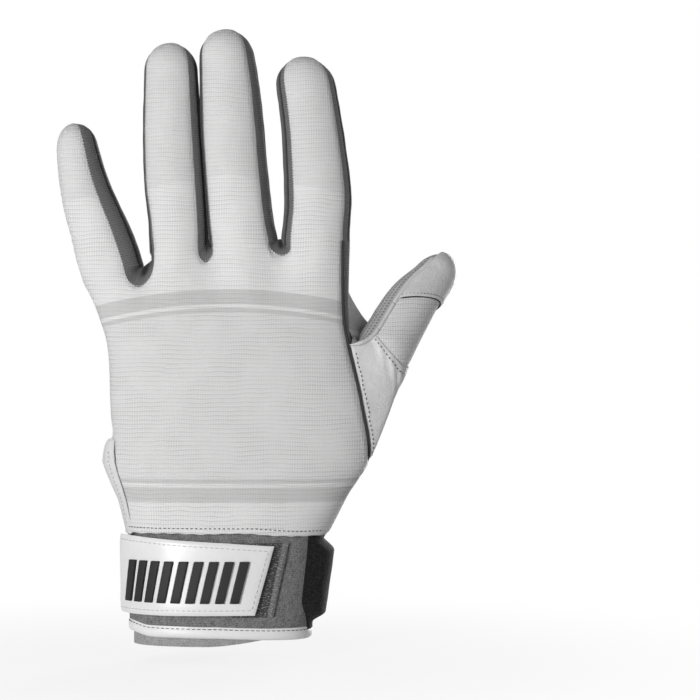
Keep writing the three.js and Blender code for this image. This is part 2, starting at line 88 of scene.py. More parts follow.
# Stage: camera, lights, floor and the white behind the glove
stage = {
    "cameraAt": (48.6, -900, 110), "fieldWidth": 266, "sensor": 36,
    "floorSize": 3000, "floorDrop": 0.2, "floorGrey": 0.85, "floorWhite": 0.84, "floorFade": (0.05, 0.26),
    "ambient": 0.15,
    "lamps": [
        {"name": "frontLamp", "at": (-640, -1150, 200), "size": 420, "power": 13.6},
        {"name": "sideLamp", "at": (700, -900, 260), "size": 600, "power": 0.7},
        {"name": "palmLamp", "at": (560, 1180, 260), "size": 460, "power": 13.0},
    ],
    "aim": (0, 0, 110),
}


def point(p):
    return Vector(p) * mm


def addLamp(lamp):
    data = bpy.data.lights.new(lamp["name"], "AREA")
    data.size = lamp["size"] * mm
    data.energy = lamp["power"]
    obj = bpy.data.objects.new(lamp["name"], data)
    obj.location = point(lamp["at"])
    obj.rotation_euler = (point(stage["aim"]) - obj.location).to_track_quat("-Z", "Y").to_euler()
    scene.collection.objects.link(obj)


def addCamera():
    data = bpy.data.cameras.new("camera")
    data.sensor_width = stage["sensor"]
    data.lens = stage["sensor"] * -stage["cameraAt"][1] / stage["fieldWidth"]
    obj = bpy.data.objects.new("camera", data)
    obj.location = point(stage["cameraAt"])
    obj.rotation_euler = (math.pi / 2, 0, 0)
    scene.collection.objects.link(obj)
    scene.camera = obj


# Shader sockets as values: sums on them add Math nodes
class Wire:
    def __init__(self, socket):
        self.socket = socket

    def node(self, kind, settings=None, inputs=None, output=0):
        tree = self.socket.id_data
        made = tree.nodes.new(kind)
        for key, value in (settings or {}).items():
            setattr(made, key, value)
        for key, value in (inputs or {}).items():
            if isinstance(value, Wire):
                tree.links.new(value.socket, made.inputs[key])
            else:
                made.inputs[key].default_value = value
        return Wire(made.outputs[output])

    def maths(self, operation, first, second=0.0):
        return self.node("ShaderNodeMath", {"operation": operation}, {0: first, 1: second})

    def __add__(self, other):
        return self.maths("ADD", self, other)

    def __sub__(self, other):
        return self.maths("SUBTRACT", self, other)

    def __rsub__(self, other):
        return self.maths("SUBTRACT", other, self)

    def __mul__(self, other):
        return self.maths("MULTIPLY", self, other)

    __radd__ = __add__
    __rmul__ = __mul__


def wave(value, pitch):  # 0 to 1, once every pitch metres
    return 0.5 + 0.5 * value.maths("SINE", value * (2 * math.pi / pitch))


def between(value, low, high):  # 0 below low, 1 above high
    return value.node("ShaderNodeMapRange", {"interpolation_type": "SMOOTHSTEP"},
                      {"Value": value, "From Min": low, "From Max": high})


def bandAt(value, middle, half, edge=0.3):  # 1 inside a stripe, 0 outside
    low, high = (middle - half) * mm, (middle + half) * mm
    return between(value, low - edge * mm, low) * between(value, high + edge * mm, high)


def speckle(place, scale, detail=2.0):
    return place.node("ShaderNodeTexNoise", {}, {"Vector": place, "Scale": scale, "Detail": detail}, "Fac")


def stretched(place, scale):
    return place.node("ShaderNodeMapping", {}, {"Vector": place, "Scale": scale})


def shades(share, dark, light):
    return share.node("ShaderNodeMix", {"data_type": "RGBA"}, {0: share, 6: (*dark, 1), 7: (*light, 1)}, 2)


def tint(colour, share, other):
    return share.node("ShaderNodeMix", {"data_type": "RGBA"}, {0: share, 6: colour, 7: (*other, 1)}, 2)


def relief(height, depth, strength=1.0, under=None):
    inputs = {"Height": height, "Distance": depth, "Strength": strength}
    if under:
        inputs["Normal"] = under
    return height.node("ShaderNodeBump", {}, inputs)


def seenRays(tree):  # 1 for what the camera sees, straight or in a reflection
    rays = tree.nodes.new("ShaderNodeLightPath")
    seen = Wire(rays.outputs["Is Camera Ray"])
    for kind in ("Glossy", "Transmission"):
        seen = seen.maths("MAXIMUM", seen, Wire(rays.outputs[f"Is {kind} Ray"]))
    return seen


class Finish:  # a new material with its shader and coordinates
    def __init__(self, name, **plain):
        self.material = bpy.data.materials.new(name)
        self.material.use_nodes = True
        self.tree = self.material.node_tree
        self.shader = self.tree.nodes["Principled BSDF"]
        coords = self.tree.nodes.new("ShaderNodeTexCoord")
        self.place = Wire(coords.outputs["Object"])
        self.cloth = Wire(coords.outputs["UV"])
        for key, value in plain.items():
            self.shader.inputs[key.replace("_", " ")].default_value = value

    def feed(self, **wires):
        for key, wire in wires.items():
            self.tree.links.new(wire.socket, self.shader.inputs[key.replace("_", " ")])
        return self.material

    def across(self):
        return self.cloth.node("ShaderNodeSeparateXYZ", {}, {0: self.cloth}, 0)

    def along(self):
        return self.cloth.node("ShaderNodeSeparateXYZ", {}, {0: self.cloth}, 1)


def grey(value, warm=0.0):
    return (value * (1 + warm), value, value * (1 - warm))


knitLook = {"rib": 1.62, "wale": 0.927, "dark": 0.35, "light": 0.77, "band": 0.30, "finger": 0.56,
            "middle": 3, "knuckleStripes": ((130, 2.6), (125, 0.7)), "cuffStripes": ((56, 2.6), (61, 0.7)),
            "arch": 2.4, "field": (61.7, 124.3), "thumbEdge": 53, "upperFinger": 176, "soft": 0.3}


def knitFinish():  # ribbed knit with plain bands in a shade of its own
    f = Finish("ribbed knit", Roughness=0.88, Sheen_Weight=0.08, Specular_IOR_Level=0.25)
    u, v = f.across(), f.along()
    wobble = speckle(f.cloth, 160) * 0.0005 + speckle(f.cloth, 40) * 0.003
    rib = wave(v + wobble, knitLook["rib"] * mm)
    course = wave(v + wobble, knitLook["rib"] / 2 * mm)
    wale = wave(u + 0.7 * wobble, knitLook["wale"] * mm)
    hole = (1 - course) * (1 - wale) * (1.6 - 1.3 * rib)  # the small dark gaps between stitches
    uneven = between(speckle(f.cloth, 75, 1), 0.35, 0.65)
    fuzz = speckle(f.cloth, 2600, 1)
    shade = 0.885 + (0.03 + 0.05 * uneven) * (wale - 0.5) + 0.06 * (rib - 0.5) + 0.04 * (course - 0.5)
    shade = shade - (0.14 + 0.32 * uneven) * hole + 0.20 * (fuzz - 0.5)
    colour = shades(shade, grey(knitLook["dark"]), grey(knitLook["light"]))
    side = u.maths("ABSOLUTE", u - knitLook["middle"] * mm)
    arched = v + knitLook["arch"] * side * side
    stripes = sum(bandAt(arched, *stripe) for stripe in knitLook["knuckleStripes"])
    stripes = stripes + sum(bandAt(v, *stripe) for stripe in knitLook["cuffStripes"])
    soft = knitLook["soft"] * mm
    low, high, right = (edge * mm for edge in (*knitLook["field"], knitLook["thumbEdge"]))
    field = between(arched, high, high - soft) * between(v, low, low + soft)
    upper = knitLook["upperFinger"] * mm
    upperFinger = between(v + 0.16 * side, upper, upper + 0.5 * mm)
    colour = tint(colour, 0.36 * upperFinger, grey(knitLook["finger"]))
    plain = (0.40 * stripes + 0.13 * field) * between(u, right, right - soft)
    colour = tint(colour, plain, grey(knitLook["band"]))
    normal = relief(0.3 * wale + 0.5 * course + 0.4 * rib - 0.5 * hole + 0.4 * fuzz, 0.0002, 0.6)
    return f.feed(Base_Color=colour, Normal=normal)


leatherLook = {"dark": 0.51, "light": 0.70, "grain": 1250, "mottle": 42}


def leatherFinish():  # soft grained sheepskin
    f = Finish("white leather", Specular_IOR_Level=0.36, Sheen_Weight=0.05)
    mottle = speckle(f.place, leatherLook["mottle"], 3)
    grain = f.place.node("ShaderNodeTexVoronoi", {"feature": "SMOOTH_F1"},
                         {"Vector": f.place, "Scale": leatherLook["grain"], "Smoothness": 0.6})
    fine = speckle(f.place, 480, 5)
    creases = speckle(stretched(f.place, (130, 150, 300)), 1.0, 3)
    # colour: the leather's own mottle and fine grain, plus painted shade: darker in the hollows of the crease
    # bump and lighter on its ridges
    shade = 0.62 + 0.55 * (mottle - 0.5) + 0.30 * (fine - 0.5) + 0.25 * (creases - 0.5)
    colour = shades(shade, grey(leatherLook["dark"]), grey(leatherLook["light"]))
    normal = relief(creases, 0.0009, 0.45)
    normal = relief(grain + 1.4 * fine, 0.0002, 0.6, normal)
    return f.feed(Base_Color=colour, Roughness=0.44 + 0.2 * fine, Normal=normal)


# crease is the near-black colour of the painted shade in the strips' folds; turned, the fold shade and
# darkest set how strong that painted shade is
stripLook = {"dark": 0.075, "light": 0.235, "pale": 0.62, "crease": 0.004, "tooth": 1.05, "reach": 0.55,
             "turned": 0.40, "foldPaintedShade": 0.85, "foldWidth": 3.6, "darkest": 0.96}


def stripFinish(name, dark, light, toothed):  # side strips, with the knit's overlocked edge
    f = Finish(name, Roughness=0.85, Sheen_Weight=0.15, Specular_IOR_Level=0.3)
    u, v = f.across(), f.along()
    weave = wave(v, 0.9 * mm) * (0.4 + 0.6 * wave(u, 0.8 * mm))
    fuzz = speckle(f.cloth, 1500, 3)
    colour = shades(0.25 + 0.5 * weave + 0.7 * (fuzz - 0.5), grey(dark), grey(light))
    # painted shade: the fold attribute darkens the cloth towards near-black on the strips' turned sides, in
    # their folds and in the webs
    crease = f.cloth.node("ShaderNodeAttribute", {"attribute_name": "fold"}, {}, "Fac")
    colour = tint(colour, crease, grey(stripLook["crease"]))
    height = weave + 0.5 * fuzz
    if toothed:
        tooth = v.maths("PINGPONG", v * (2 / (stripLook["tooth"] * mm)), 1.0)
        edge = between(u - (stripLook["reach"] * tooth - 0.2) * mm, 0.12 * mm, 0.0)
        colour = tint(colour, edge, grey(stripLook["pale"]))
        height = height + 1.5 * edge
    return f.feed(Base_Color=colour, Normal=relief(height, 0.0002, 0.7))


def meshFinish():  # grey mesh with rows of small holes
    f = Finish("grey mesh strip", Roughness=0.85, Sheen_Weight=0.1, Specular_IOR_Level=0.3)
    u, v = f.across(), f.along()
    row = wave(u, 1.9 * mm)
    hole = row.maths("POWER", row, 2.0) * wave(v + 0.25 * u, 1.5 * mm).maths("POWER", wave(v, 1.5 * mm), 2.0)
    fuzz = speckle(f.cloth, 1800, 2)
    colour = shades(0.80 - 0.85 * hole + 0.5 * (fuzz - 0.5), grey(0.11), grey(0.50))
    return f.feed(Base_Color=colour, Normal=relief(fuzz - 2.0 * hole, 0.0003, 0.8))


def heatherFinish(name, dark, light):  # grey marl, fine crosswise ribs
    f = Finish(name, Roughness=0.92, Sheen_Weight=0.15, Specular_IOR_Level=0.25)
    marl = speckle(stretched(f.place, (2300, 2300, 1500)), 1.0, 2)
    broad = speckle(f.place, 420, 2)
    z = f.place.node("ShaderNodeSeparateXYZ", {}, {0: f.place}, 2)
    rib = wave(z, 0.7 * mm)
    shade = 0.5 + 1.5 * (marl - 0.5) + 0.6 * (broad - 0.5) + 0.16 * (rib - 0.5)
    colour = shades(shade.maths("MAXIMUM", shade, 0.0), grey(dark), grey(light))
    return f.feed(Base_Color=colour, Normal=relief(0.5 * rib + marl, 0.0002, 0.7))


def loopFinish():  # short black pile
    f = Finish("black loop fabric", Roughness=0.95, Sheen_Weight=0.12, Specular_IOR_Level=0.2)
    pile = f.place.node("ShaderNodeTexVoronoi", {}, {"Vector": f.place, "Scale": 1700})
    fuzz = speckle(f.place, 1100, 3)
    shade = between(1.3 * fuzz - 0.6 * pile, 0.15, 0.62)
    colour = shades(shade, grey(0.003), grey(0.013))
    return f.feed(Base_Color=colour, Normal=relief(fuzz - 0.6 * pile, 0.0004, 0.8))


hookLook = {"dark": 0.012, "light": 0.075, "fleck": 0.34, "border": 2.5}


def hookFinish():  # dark hook tape, pale slanting flecks, paler at its free edge
    f = Finish("dark hook tape", Roughness=0.8, Sheen_Weight=0.1, Specular_IOR_Level=0.35)
    u, v = f.across(), f.along()
    slanted = f.cloth.node("ShaderNodeMapping", {}, {
        "Vector": f.cloth, "Rotation": (0, 0, math.radians(38)), "Scale": (900, 2600, 1)})
    fleck = speckle(slanted, 1.0, 2)
    body = speckle(f.cloth, 1900, 2)
    border = between(u, (hookLook["border"] + 0.3) * mm, (hookLook["border"] - 0.3) * mm)
    shade = between(fleck, 0.53, 0.63) * (0.65 + 0.35 * border)
    colour = shades(body, grey(hookLook["dark"]), grey(hookLook["light"]))
    colour = tint(colour, 0.40 * border, grey(hookLook["fleck"]))
    colour = tint(colour, shade, grey(hookLook["fleck"]))
    return f.feed(Base_Color=colour, Normal=relief(fleck + 0.6 * body, 0.0004, 0.9))


def smoothFinish(name, dark, light, rough, grainDepth, **plain):  # coated cloth, binding, rubber
    f = Finish(name, **plain)
    cloud = speckle(f.place, 70, 3)
    grain = speckle(f.place, 1700, 2)
    colour = shades(0.3 + 0.5 * cloud + 0.25 * (grain - 0.5), grey(dark), grey(light))
    normal = relief(grain, grainDepth, 0.5)
    return f.feed(Base_Color=colour, Roughness=rough + 0.14 * (cloud - 0.5), Normal=normal)


def webbingFinish():  # close black twill
    f = Finish("black webbing", Roughness=0.75, Sheen_Weight=0.1, Specular_IOR_Level=0.3)
    u, v = f.across(), f.along()
    twill = wave(u + v, 1.1 * mm) * (0.5 + 0.5 * wave(v - u, 0.6 * mm))
    fuzz = speckle(f.cloth, 1800, 2)
    colour = shades(0.3 + 0.4 * twill + 0.4 * (fuzz - 0.5), grey(0.004), grey(0.013))
    return f.feed(Base_Color=colour, Normal=relief(twill, 0.00018, 0.7))


def threadFinish(name, dark, light):
    f = Finish(name, Roughness=0.6, Specular_IOR_Level=0.4)
    twist = speckle(f.place, 3200, 1)
    return f.feed(Base_Color=shades(twist, grey(dark), grey(light)), Normal=relief(twist, 0.0001, 0.6))


finishes = {
    "knit": knitFinish(),
    "leather": leatherFinish(),
    "strip": stripFinish("side strip", stripLook["dark"], stripLook["light"], True),
    "mesh": meshFinish(),
    "side": stripFinish("thumb side strip", 0.10, 0.27, False),
    "heather": heatherFinish("grey marl elastic", 0.055, 0.29),
    "lining": heatherFinish("grey lining", 0.19, 0.42),
    "loop": loopFinish(),
    "hook": hookFinish(),
    "strap": smoothFinish("white coated strap", 0.66, 0.79, 0.36, 0.00006,
                          Coat_Weight=0.12, Coat_Roughness=0.3),
    "binding": smoothFinish("white binding", 0.68, 0.81, 0.42, 0.0001, Sheen_Weight=0.1),
    "rubber": smoothFinish("black rubber", 0.006, 0.014, 0.58, 0.00008, Specular_IOR_Level=0.28),
    "webbing": webbingFinish(),
    "piping": smoothFinish("dark piping", 0.02, 0.05, 0.75, 0.0001, Specular_IOR_Level=0.2),
    # dark thread: its dark colour also stands for the shade in the needle holes, so it is partly painted
    # shade
    "darkThread": threadFinish("dark thread", 0.03, 0.10),
    "greyThread": threadFinish("grey thread", 0.42, 0.58),
    # the dark tube for a seam with painted shadow in it
    "seamShadowThread": threadFinish("grey seam shadow", 0.10, 0.20),
    "paleThread": threadFinish("pale thread", 0.50, 0.72),
    "blackThread": threadFinish("black thread", 0.002, 0.007),
}
print("finishes:", len(finishes))


# Numbers
def mix(a, b, share):
    return a + (b - a) * share


def smooth(value, low, high):
    share = np.clip((value - low) / (high - low), 0, 1)
    return share * share * (3 - 2 * share)


def unit(v):
    return v / np.maximum(np.linalg.norm(v, axis=-1, keepdims=True), 1e-9)


def bell(value, reach):  # 1 at 0, next to nothing past twice the reach
    return np.exp(-((value / reach) ** 2))


def softTable(value, table, column=1, reach=2.5, count=11):  # read off a table, averaged a little way round
    rows = np.array(table, float).T
    spots = value[..., None] + np.linspace(-reach, reach, count)
    return np.interp(spots, rows[0], rows[column]).mean(axis=-1)


def lengthAlong(line):  # mm from the start of a line, or of each column of a grid
    return np.cumsum(np.linalg.norm(np.diff(line, axis=0, prepend=line[:1]), axis=-1), axis=0)


def pick(spots, along, line):  # a line's points at those lengths along it
    return np.stack([np.interp(spots, along, line[:, k]) for k in range(line.shape[1])], axis=-1)


def cloud(points, size, shift=0.0):  # smooth noise of that size in mm, -1 to 1
    flat = (points / np.array(size) + shift).reshape(-1, 3)
    return np.array([noise.noise(p) for p in flat.tolist()]).reshape(points.shape[:-1])


def gridNormals(grid, closed=False):
    if closed:
        wide = np.roll(grid, -1, 1) - np.roll(grid, 1, 1)
    else:
        wide = np.gradient(grid, axis=1)
    return unit(np.cross(wide, np.gradient(grid, axis=0)))


def edgeDistance(grid, sides):  # mm from each point to the nearest of the named edges
    ends = {"left": grid[:, :1], "right": grid[:, -1:], "low": grid[:1], "high": grid[-1:]}
    return np.min([np.linalg.norm(grid - ends[side], axis=-1) for side in sides], axis=0)


def turnedIn(grid, sides, drop=0.7, reach=0.9, closed=False):  # edges rolled in to their seams
    far = edgeDistance(grid, sides)
    return grid - gridNormals(grid, closed) * (drop * bell(far, reach))[..., None]


# Digits: the first fold, the lean, and the sizes from there to the tip
digits = {
    "index": {
        "fold": (37.1, 0, 150), "tilt": -5.4, "lean": 4, "length": 72.5, "lower": 17, "cut": 10.5,
        "halfWidth": (12.8, 11), "halfDepth": (10.8, 9.6), "backSeam": (-44, 53), "palmSeam": (-108, 106),
        "lowerPad": (-5, 12.5), "upperPad": 33, "crease": (-62, 74),
        "sides": [(0, -2.4, -1.1), (5, -1.9, -0.4), (10.5, -0.8, 0.8), (16, 0, 1.9), (26.5, 0.4, 2.2),
                  (42.5, 0.8, 1.9), (53, 0.4, 1.5), (64, -0.4, 0.8), (69, 0, -0.8)],
    },
    "middle": {
        "fold": (7.9, 0, 149.5), "tilt": -4.9, "lean": 4, "length": 83.5, "lower": 19, "cut": 12,
        "halfWidth": (11.8, 10), "halfDepth": (10.8, 9.6), "backSeam": (-60, 46), "palmSeam": (-106, 106),
        "lowerPad": (-6.5, 13.5), "upperPad": 30, "crease": (-72, 84),
        "sides": [(0, -1.2, 2.2), (5, -1.5, 1.6), (10, -1.7, 1.1), (20, -1.9, 1.1), (32, -2.1, 1.1),
                  (43, -2.2, 1.5), (58, -1.7, 1.5), (69, -1.2, 1.1), (76, -0.8, 0.3)],
    },
    "ring": {
        "fold": (-17.3, 0, 147), "tilt": -1.4, "lean": 4, "length": 80.5, "lower": 18, "cut": 11,
        "halfWidth": (10.5, 9.9), "halfDepth": (10.3, 9.2), "backSeam": (-62, 43), "palmSeam": (-106, 106),
        "lowerPad": (-7.5, 11.5), "upperPad": 0, "crease": (-76, 72), "warp": (-62, 9),
        "sides": [(0, 0.2, 1.9), (3, -0.2, 2.0), (13, -0.4, 1.9), (19, -1.1, 1.8), (24, -1.8, 1.6),
                  (34, -2.1, 1.2), (45, -2.2, 0.7), (56, -1.9, 0.3), (66, -1.5, 0), (72, -1.3, -0.4)],
    },
    "little": {
        "fold": (-41.9, 0, 139), "tilt": -15.4, "lean": 4, "length": 59.6, "lower": 15, "cut": 9,
        "halfWidth": (10.4, 8.3), "halfDepth": (9, 8), "backSeam": (-100, 24), "palmSeam": (-100, 106),
        "lowerPad": (-5, 9.5), "upperPad": 0, "crease": (-95, 66),
        "sides": [(0, -0.8, 2.4), (5.6, -1.5, 2.7), (11, -1.8, 2.4), (17, -1.6, 1.8), (22, -1.9, 1.0),
                  (28, -2.2, 0.4), (33, -1.9, -0.4), (39, -1.5, -0.7), (44, -1.1, -0.5), (50, 0, -0.4),
                  (55, 0.4, 0)],
    },
    "thumb": {
        "fold": (62, 9, 111), "tilt": 30, "lean": 30, "length": 49, "lower": 24, "cut": 14,
        "halfWidth": (11.2, 9.6), "halfDepth": (10.6, 9), "backSeam": (-31, 92), "palmSeam": (-122, 92),
        "sides": [(0, 0, 0), (20, 0, 0), (29, 1.1, 0.3), (36, 3.6, 0.9), (43, 5.2, 1.2)],
    },
}
fingerNames = ["little", "ring", "middle", "index"]
tipTurn, tipLength = 38, 10.5
bend = {"lowerEnd": 1, "upperBefore": 4.5, "upperPast": 7}  # mm each side of a fold, for the end points that settle passes to follow
for digit in digits.values():
    tilt, lean = math.radians(digit["tilt"]), math.radians(digit["lean"])
    flat = math.cos(lean)
    digit["along"] = np.array((math.sin(tilt) * flat, math.sin(lean), math.cos(tilt) * flat))
    digit["back"] = unit(np.array((0, -1, 0)) + digit["along"] * digit["along"][1])
    digit["across"] = np.cross(digit["along"], digit["back"])
    digit["fold"] = np.array(digit["fold"], float)
    digit["straight"] = digit["length"] - tipLength
    digit["end"] = digit["straight"] + tipLength * math.pi / 2


def sideShift(digit, distance, across):  # mm that a point moves sideways with the uneven outlines
    leftward, rightward = (softTable(distance, digit["sides"], column, 4, 9) for column in (1, 2))
    return mix(leftward, rightward, (across + 1) / 2)


def digitPoint(digit, distance, angle, depth=0.0):
    distance, angle, depth = np.broadcast_arrays(
        *(np.asarray(x, float)[..., None] for x in (distance, angle, depth)))
    if "warp" in digit:  # a seam that turns outward near the fold
        at, amount = digit["warp"]
        angle = angle + amount * np.exp(-(((angle - at) / 26) ** 2) - (np.maximum(distance, 0) / 12) ** 2)
    share = np.minimum(distance / digit["straight"], 1)
    halfWidth = mix(*digit["halfWidth"], share) - depth
    halfDepth = mix(*digit["halfDepth"], share) - depth
    rise = np.maximum(distance - digit["straight"], 0) / tipLength
    turn = math.radians(tipTurn) * rise / (math.pi / 2)
    across = np.cos(rise) * np.sin(np.radians(angle))
    out = np.cos(rise) * np.cos(np.radians(angle))
    ahead = np.sin(rise)
    reach = (tipLength - depth) * (ahead * np.cos(turn) + out * np.sin(turn))
    return (
        digit["fold"]
        + digit["along"] * (np.minimum(distance, digit["straight"]) + reach)
        + digit["across"] * (halfWidth * across + sideShift(digit, distance, across))
        + digit["back"] * (halfDepth * (out * np.cos(turn) - ahead * np.sin(turn)))
    )


def digitLine(digit, distance, angle, depth=0.0, out=-1.0):  # points on a digit, with the way out from it
    line = digitPoint(digit, distance, angle, depth)
    return line, unit(digitPoint(digit, distance, angle, out) - line)


def axisPoint(digit, distance):
    return digit["fold"] + digit["along"] * distance


# Hand: the sections from under the webs to the cuff, and the webs
roundness, palmDrop, fingerSlope = 0.86, 4.5, 6
sectionKeys = ("z", "x", "half", "back", "palm", "seam", "backEdge", "palmEdge")
sections = [dict(zip(sectionKeys, row)) for row in (
    (122, 1, 47.5, 13, 14.5, -100, 72, 106),
    (112, 3, 46.6, 14, 16.5, -99, 75, 92),
    (90, 7, 49.5, 15.5, 20, -95, 67, 128),
    (68, 5.4, 50.6, 17.5, 22, -76, 84, 92),
    (54, 3.4, 44, 19.5, 22, -74, 100, 110),
    (40, 1.2, 39.2, 21, 22, -78, 108, 118),
)]
sections[-1]["drop"] = palmDrop
crotchRow, thumbEndRow, cuffRow = 2, 4, 6
webs = [
    {"name": "web_ring_little", "little": "little", "thumb": "ring", "depth": 9.5, "half": 7, "rise": 8.2},
    {"name": "web_middle_ring", "little": "ring", "thumb": "middle", "depth": 4.8, "half": 7, "rise": 9.5},
    {"name": "web_index_middle", "little": "middle", "thumb": "index", "depth": 4.2, "half": 7, "rise": 6.8},
]
seamEdge = 0.6  # degrees between a digit's panel and its seam
sectionEdge = 0.4  # the same round the hand
fingerColumns, webColumns, rowStep = 25, 16, 1.1


def power(value):
    return np.sign(value) * np.abs(value) ** roundness


def sectionPoint(section, angle, depth=0.0):
    angle = np.radians(np.asarray(angle, float))
    out = np.cos(angle)
    reach = np.where(out > 0, section["back"], section["palm"]) - depth
    x = section["x"] + (section["half"] - depth) * power(np.sin(angle))
    z = section["z"] - section.get("drop", 0) * smooth(-out, 0, 0.6)
    return np.stack([x, -reach * power(out), z + 0 * x], axis=-1)


def webPoint(web, side, share, depth=0.0):
    little, thumbward = digits[web["little"]], digits[web["thumb"]]
    seam = "backSeam" if side == "back" else "palmSeam"
    first = digitPoint(little, 0, little[seam][1], depth)
    last = digitPoint(thumbward, 0, thumbward[seam][0], depth)
    middle = (first + last) / 2
    arc = (math.pi * np.asarray(share, float))[..., None]
    down = -unit(little["along"] + thumbward["along"])
    found = middle - 0.5 * np.cos(arc) * (last - first) + down * (web["depth"] + depth) * np.sin(arc)
    edge = (web["half"] - depth) * (-1 if side == "back" else 1)
    found[..., 1] += ((edge - middle[1]) * np.sin(arc))[..., 0]
    return found


def curveAt(points, row):  # a smooth line through each column of points; row 0 is its second point
    count, columns = points.shape[:2]
    row = np.broadcast_to(row, (len(row), columns))
    first = np.clip(np.floor(row + 1).astype(int), 0, count - 2)
    share = (row + 1 - first)[..., None]
    ends = np.concatenate([[2 * points[0] - points[1]], points, [2 * points[-1] - points[-2]]])
    p = [ends[first + k, np.arange(columns)] for k in range(4)]
    gap = [
        np.sqrt(np.maximum(np.linalg.norm(p[k + 1] - p[k], axis=-1, keepdims=True), 1e-6))
        for k in range(3)
    ]
    into = ((p[1] - p[0]) / gap[0] - (p[2] - p[0]) / (gap[0] + gap[1]) + (p[2] - p[1]) / gap[1]) * gap[1]
    out = ((p[2] - p[1]) / gap[1] - (p[3] - p[1]) / (gap[1] + gap[2]) + (p[3] - p[2]) / gap[2]) * gap[1]
    square = 3 * (p[2] - p[1]) - 2 * into - out
    cube = 2 * (p[1] - p[2]) + into + out
    return p[1] + share * (into + share * (square + share * cube))


def handRows(first, last):  # rows about rowStep apart, from the cuff's side up
    levels = [150] + [section["z"] for section in sections]
    heights = np.arange(np.interp(first, range(7), levels), np.interp(last, range(7), levels), rowStep)
    rows = np.interp(-heights, [-z for z in levels], range(7))
    return np.concatenate([[first], rows[1:], [last]])


def columnAngle(side, section, turn):
    back = np.where(turn < 0, -section["seam"], section["backEdge"])
    palm = np.where(turn < 0, 180 + section["seam"], 180 - section["palmEdge"])
    return turn * (back - sectionEdge) if side == "back" else 180 - turn * (palm - sectionEdge)


def handCurves(side, depth=0.0):
    tops, pasts, places = [], [], []
    for i, name in enumerate(fingerNames):
        digit = digits[name]
        if side == "back":
            first, last = digit["backSeam"][0] + seamEdge, digit["backSeam"][1] - seamEdge
        else:
            first, last = digit["palmSeam"][0] - seamEdge, digit["palmSeam"][1] + seamEdge - 360
        u = np.linspace(0, 1, fingerColumns)
        tops.append(digitPoint(digit, 0 * u, mix(first, last, u), depth))
        pasts.append(digitPoint(digit, fingerSlope + 0 * u, mix(first, last, u), depth))
        place = digitPoint(digit, 0 * u, mix(first, last, u))[:, 0]
        places.append(place if side == "back" else digit["fold"][0] + digit["halfWidth"][0] * mix(-1, 1, u))
        if i < len(webs):
            u = np.linspace(0, 1, webColumns + 1)
            tops.append(webPoint(webs[i], side, u[1:-1], depth))
            pasts.append(np.full((len(u) - 2, 3), np.nan))
            places.append(u[1:-1])
    for k in range(1, len(places), 2):
        places[k] = mix(places[k - 1][-1], places[k + 1][0], places[k])
    top, past, place = np.concatenate(tops), np.concatenate(pasts), np.concatenate(places)
    across = 2 * (place - place[0]) / (place[-1] - place[0]) - 1
    turn = np.arcsin(np.clip(across, -1, 1)) / (math.pi / 2)
    below = [sectionPoint(section, columnAngle(side, section, turn), depth) for section in sections]
    past = np.where(np.isnan(past), 2 * top - below[0], past)
    curves = np.stack([past, top, *below])
    isWeb = np.concatenate([np.full(len(t), k % 2 == 1) for k, t in enumerate(tops)])
    if side == "palm":
        return curves[:, ::-1], isWeb[::-1]
    return curves, isWeb


def edgeCurves(share, depth=0.0):  # lines down the gap on the thumb side, share 0 at the back's edge
    share = np.asarray(share, float)
    index = digits["index"]
    angle = mix(index["backSeam"][1] + seamEdge, index["palmSeam"][1] - seamEdge, share)
    top = digitPoint(index, 0 * share, angle, depth)
    past = digitPoint(index, fingerSlope + 0 * share, angle, depth)
    below = [
        sectionPoint(s, mix(s["backEdge"] + sectionEdge, s["palmEdge"] - sectionEdge, share), depth)
        for s in sections
    ]
    return np.stack([past, top, *below])


# Cuff: a band between the hem and the panels
cuff = {"hemHeight": 6, "lapGap": 1, "panel": 1.6, "back": 1.4, "backShare": 5 / 14}
hem = {"x": -0.6, "half": 34.4, "back": 19.5, "palm": 20, "rise": 0.4, "thickness": 3.2, "low": 2.4,
       "height": 4.9, "stitch": 6.0, "tilt": 0.012, "thumbTilt": 0.025, "sideRise": 1.4}
wrist = sections[-1]
cuffTop = {
    "x": wrist["x"], "half": wrist["half"] - cuff["panel"] - cuff["lapGap"],
    "back": mix(wrist["back"], sections[-2]["back"], cuff["backShare"]) - cuff["back"] - cuff["lapGap"],
    "palm": wrist["palm"] - cuff["panel"] - cuff["lapGap"],
}


def cuffShare(z):  # 0 at the hem, 1 where the panels begin
    return np.clip((z - cuff["hemHeight"]) / (wrist["z"] - cuff["hemHeight"]), 0, 1)


def cuffPoint(z, angle, depth=0.0):
    z, angle, depth = np.broadcast_arrays(*(np.asarray(x, float) for x in (z, angle, depth)))
    share = cuffShare(z)
    section = {key: mix(hem[key], cuffTop[key], share) for key in ("x", "half", "back", "palm")}
    return sectionPoint({**section, "z": z}, angle, depth)


# Meshes
def selectOnly(obj):
    bpy.ops.object.select_all(action="DESELECT")
    bpy.context.view_layer.objects.active = obj
    obj.select_set(True)


def applyAll(obj):
    selectOnly(obj)
    for modifier in list(obj.modifiers):
        bpy.ops.object.modifier_apply(modifier=modifier.name)


def onWholeMesh(obj, tool, **settings):
    selectOnly(obj)
    bpy.ops.object.mode_set(mode="EDIT")
    bpy.ops.mesh.select_all(action="SELECT")
    tool(**settings)
    bpy.ops.object.mode_set(mode="OBJECT")


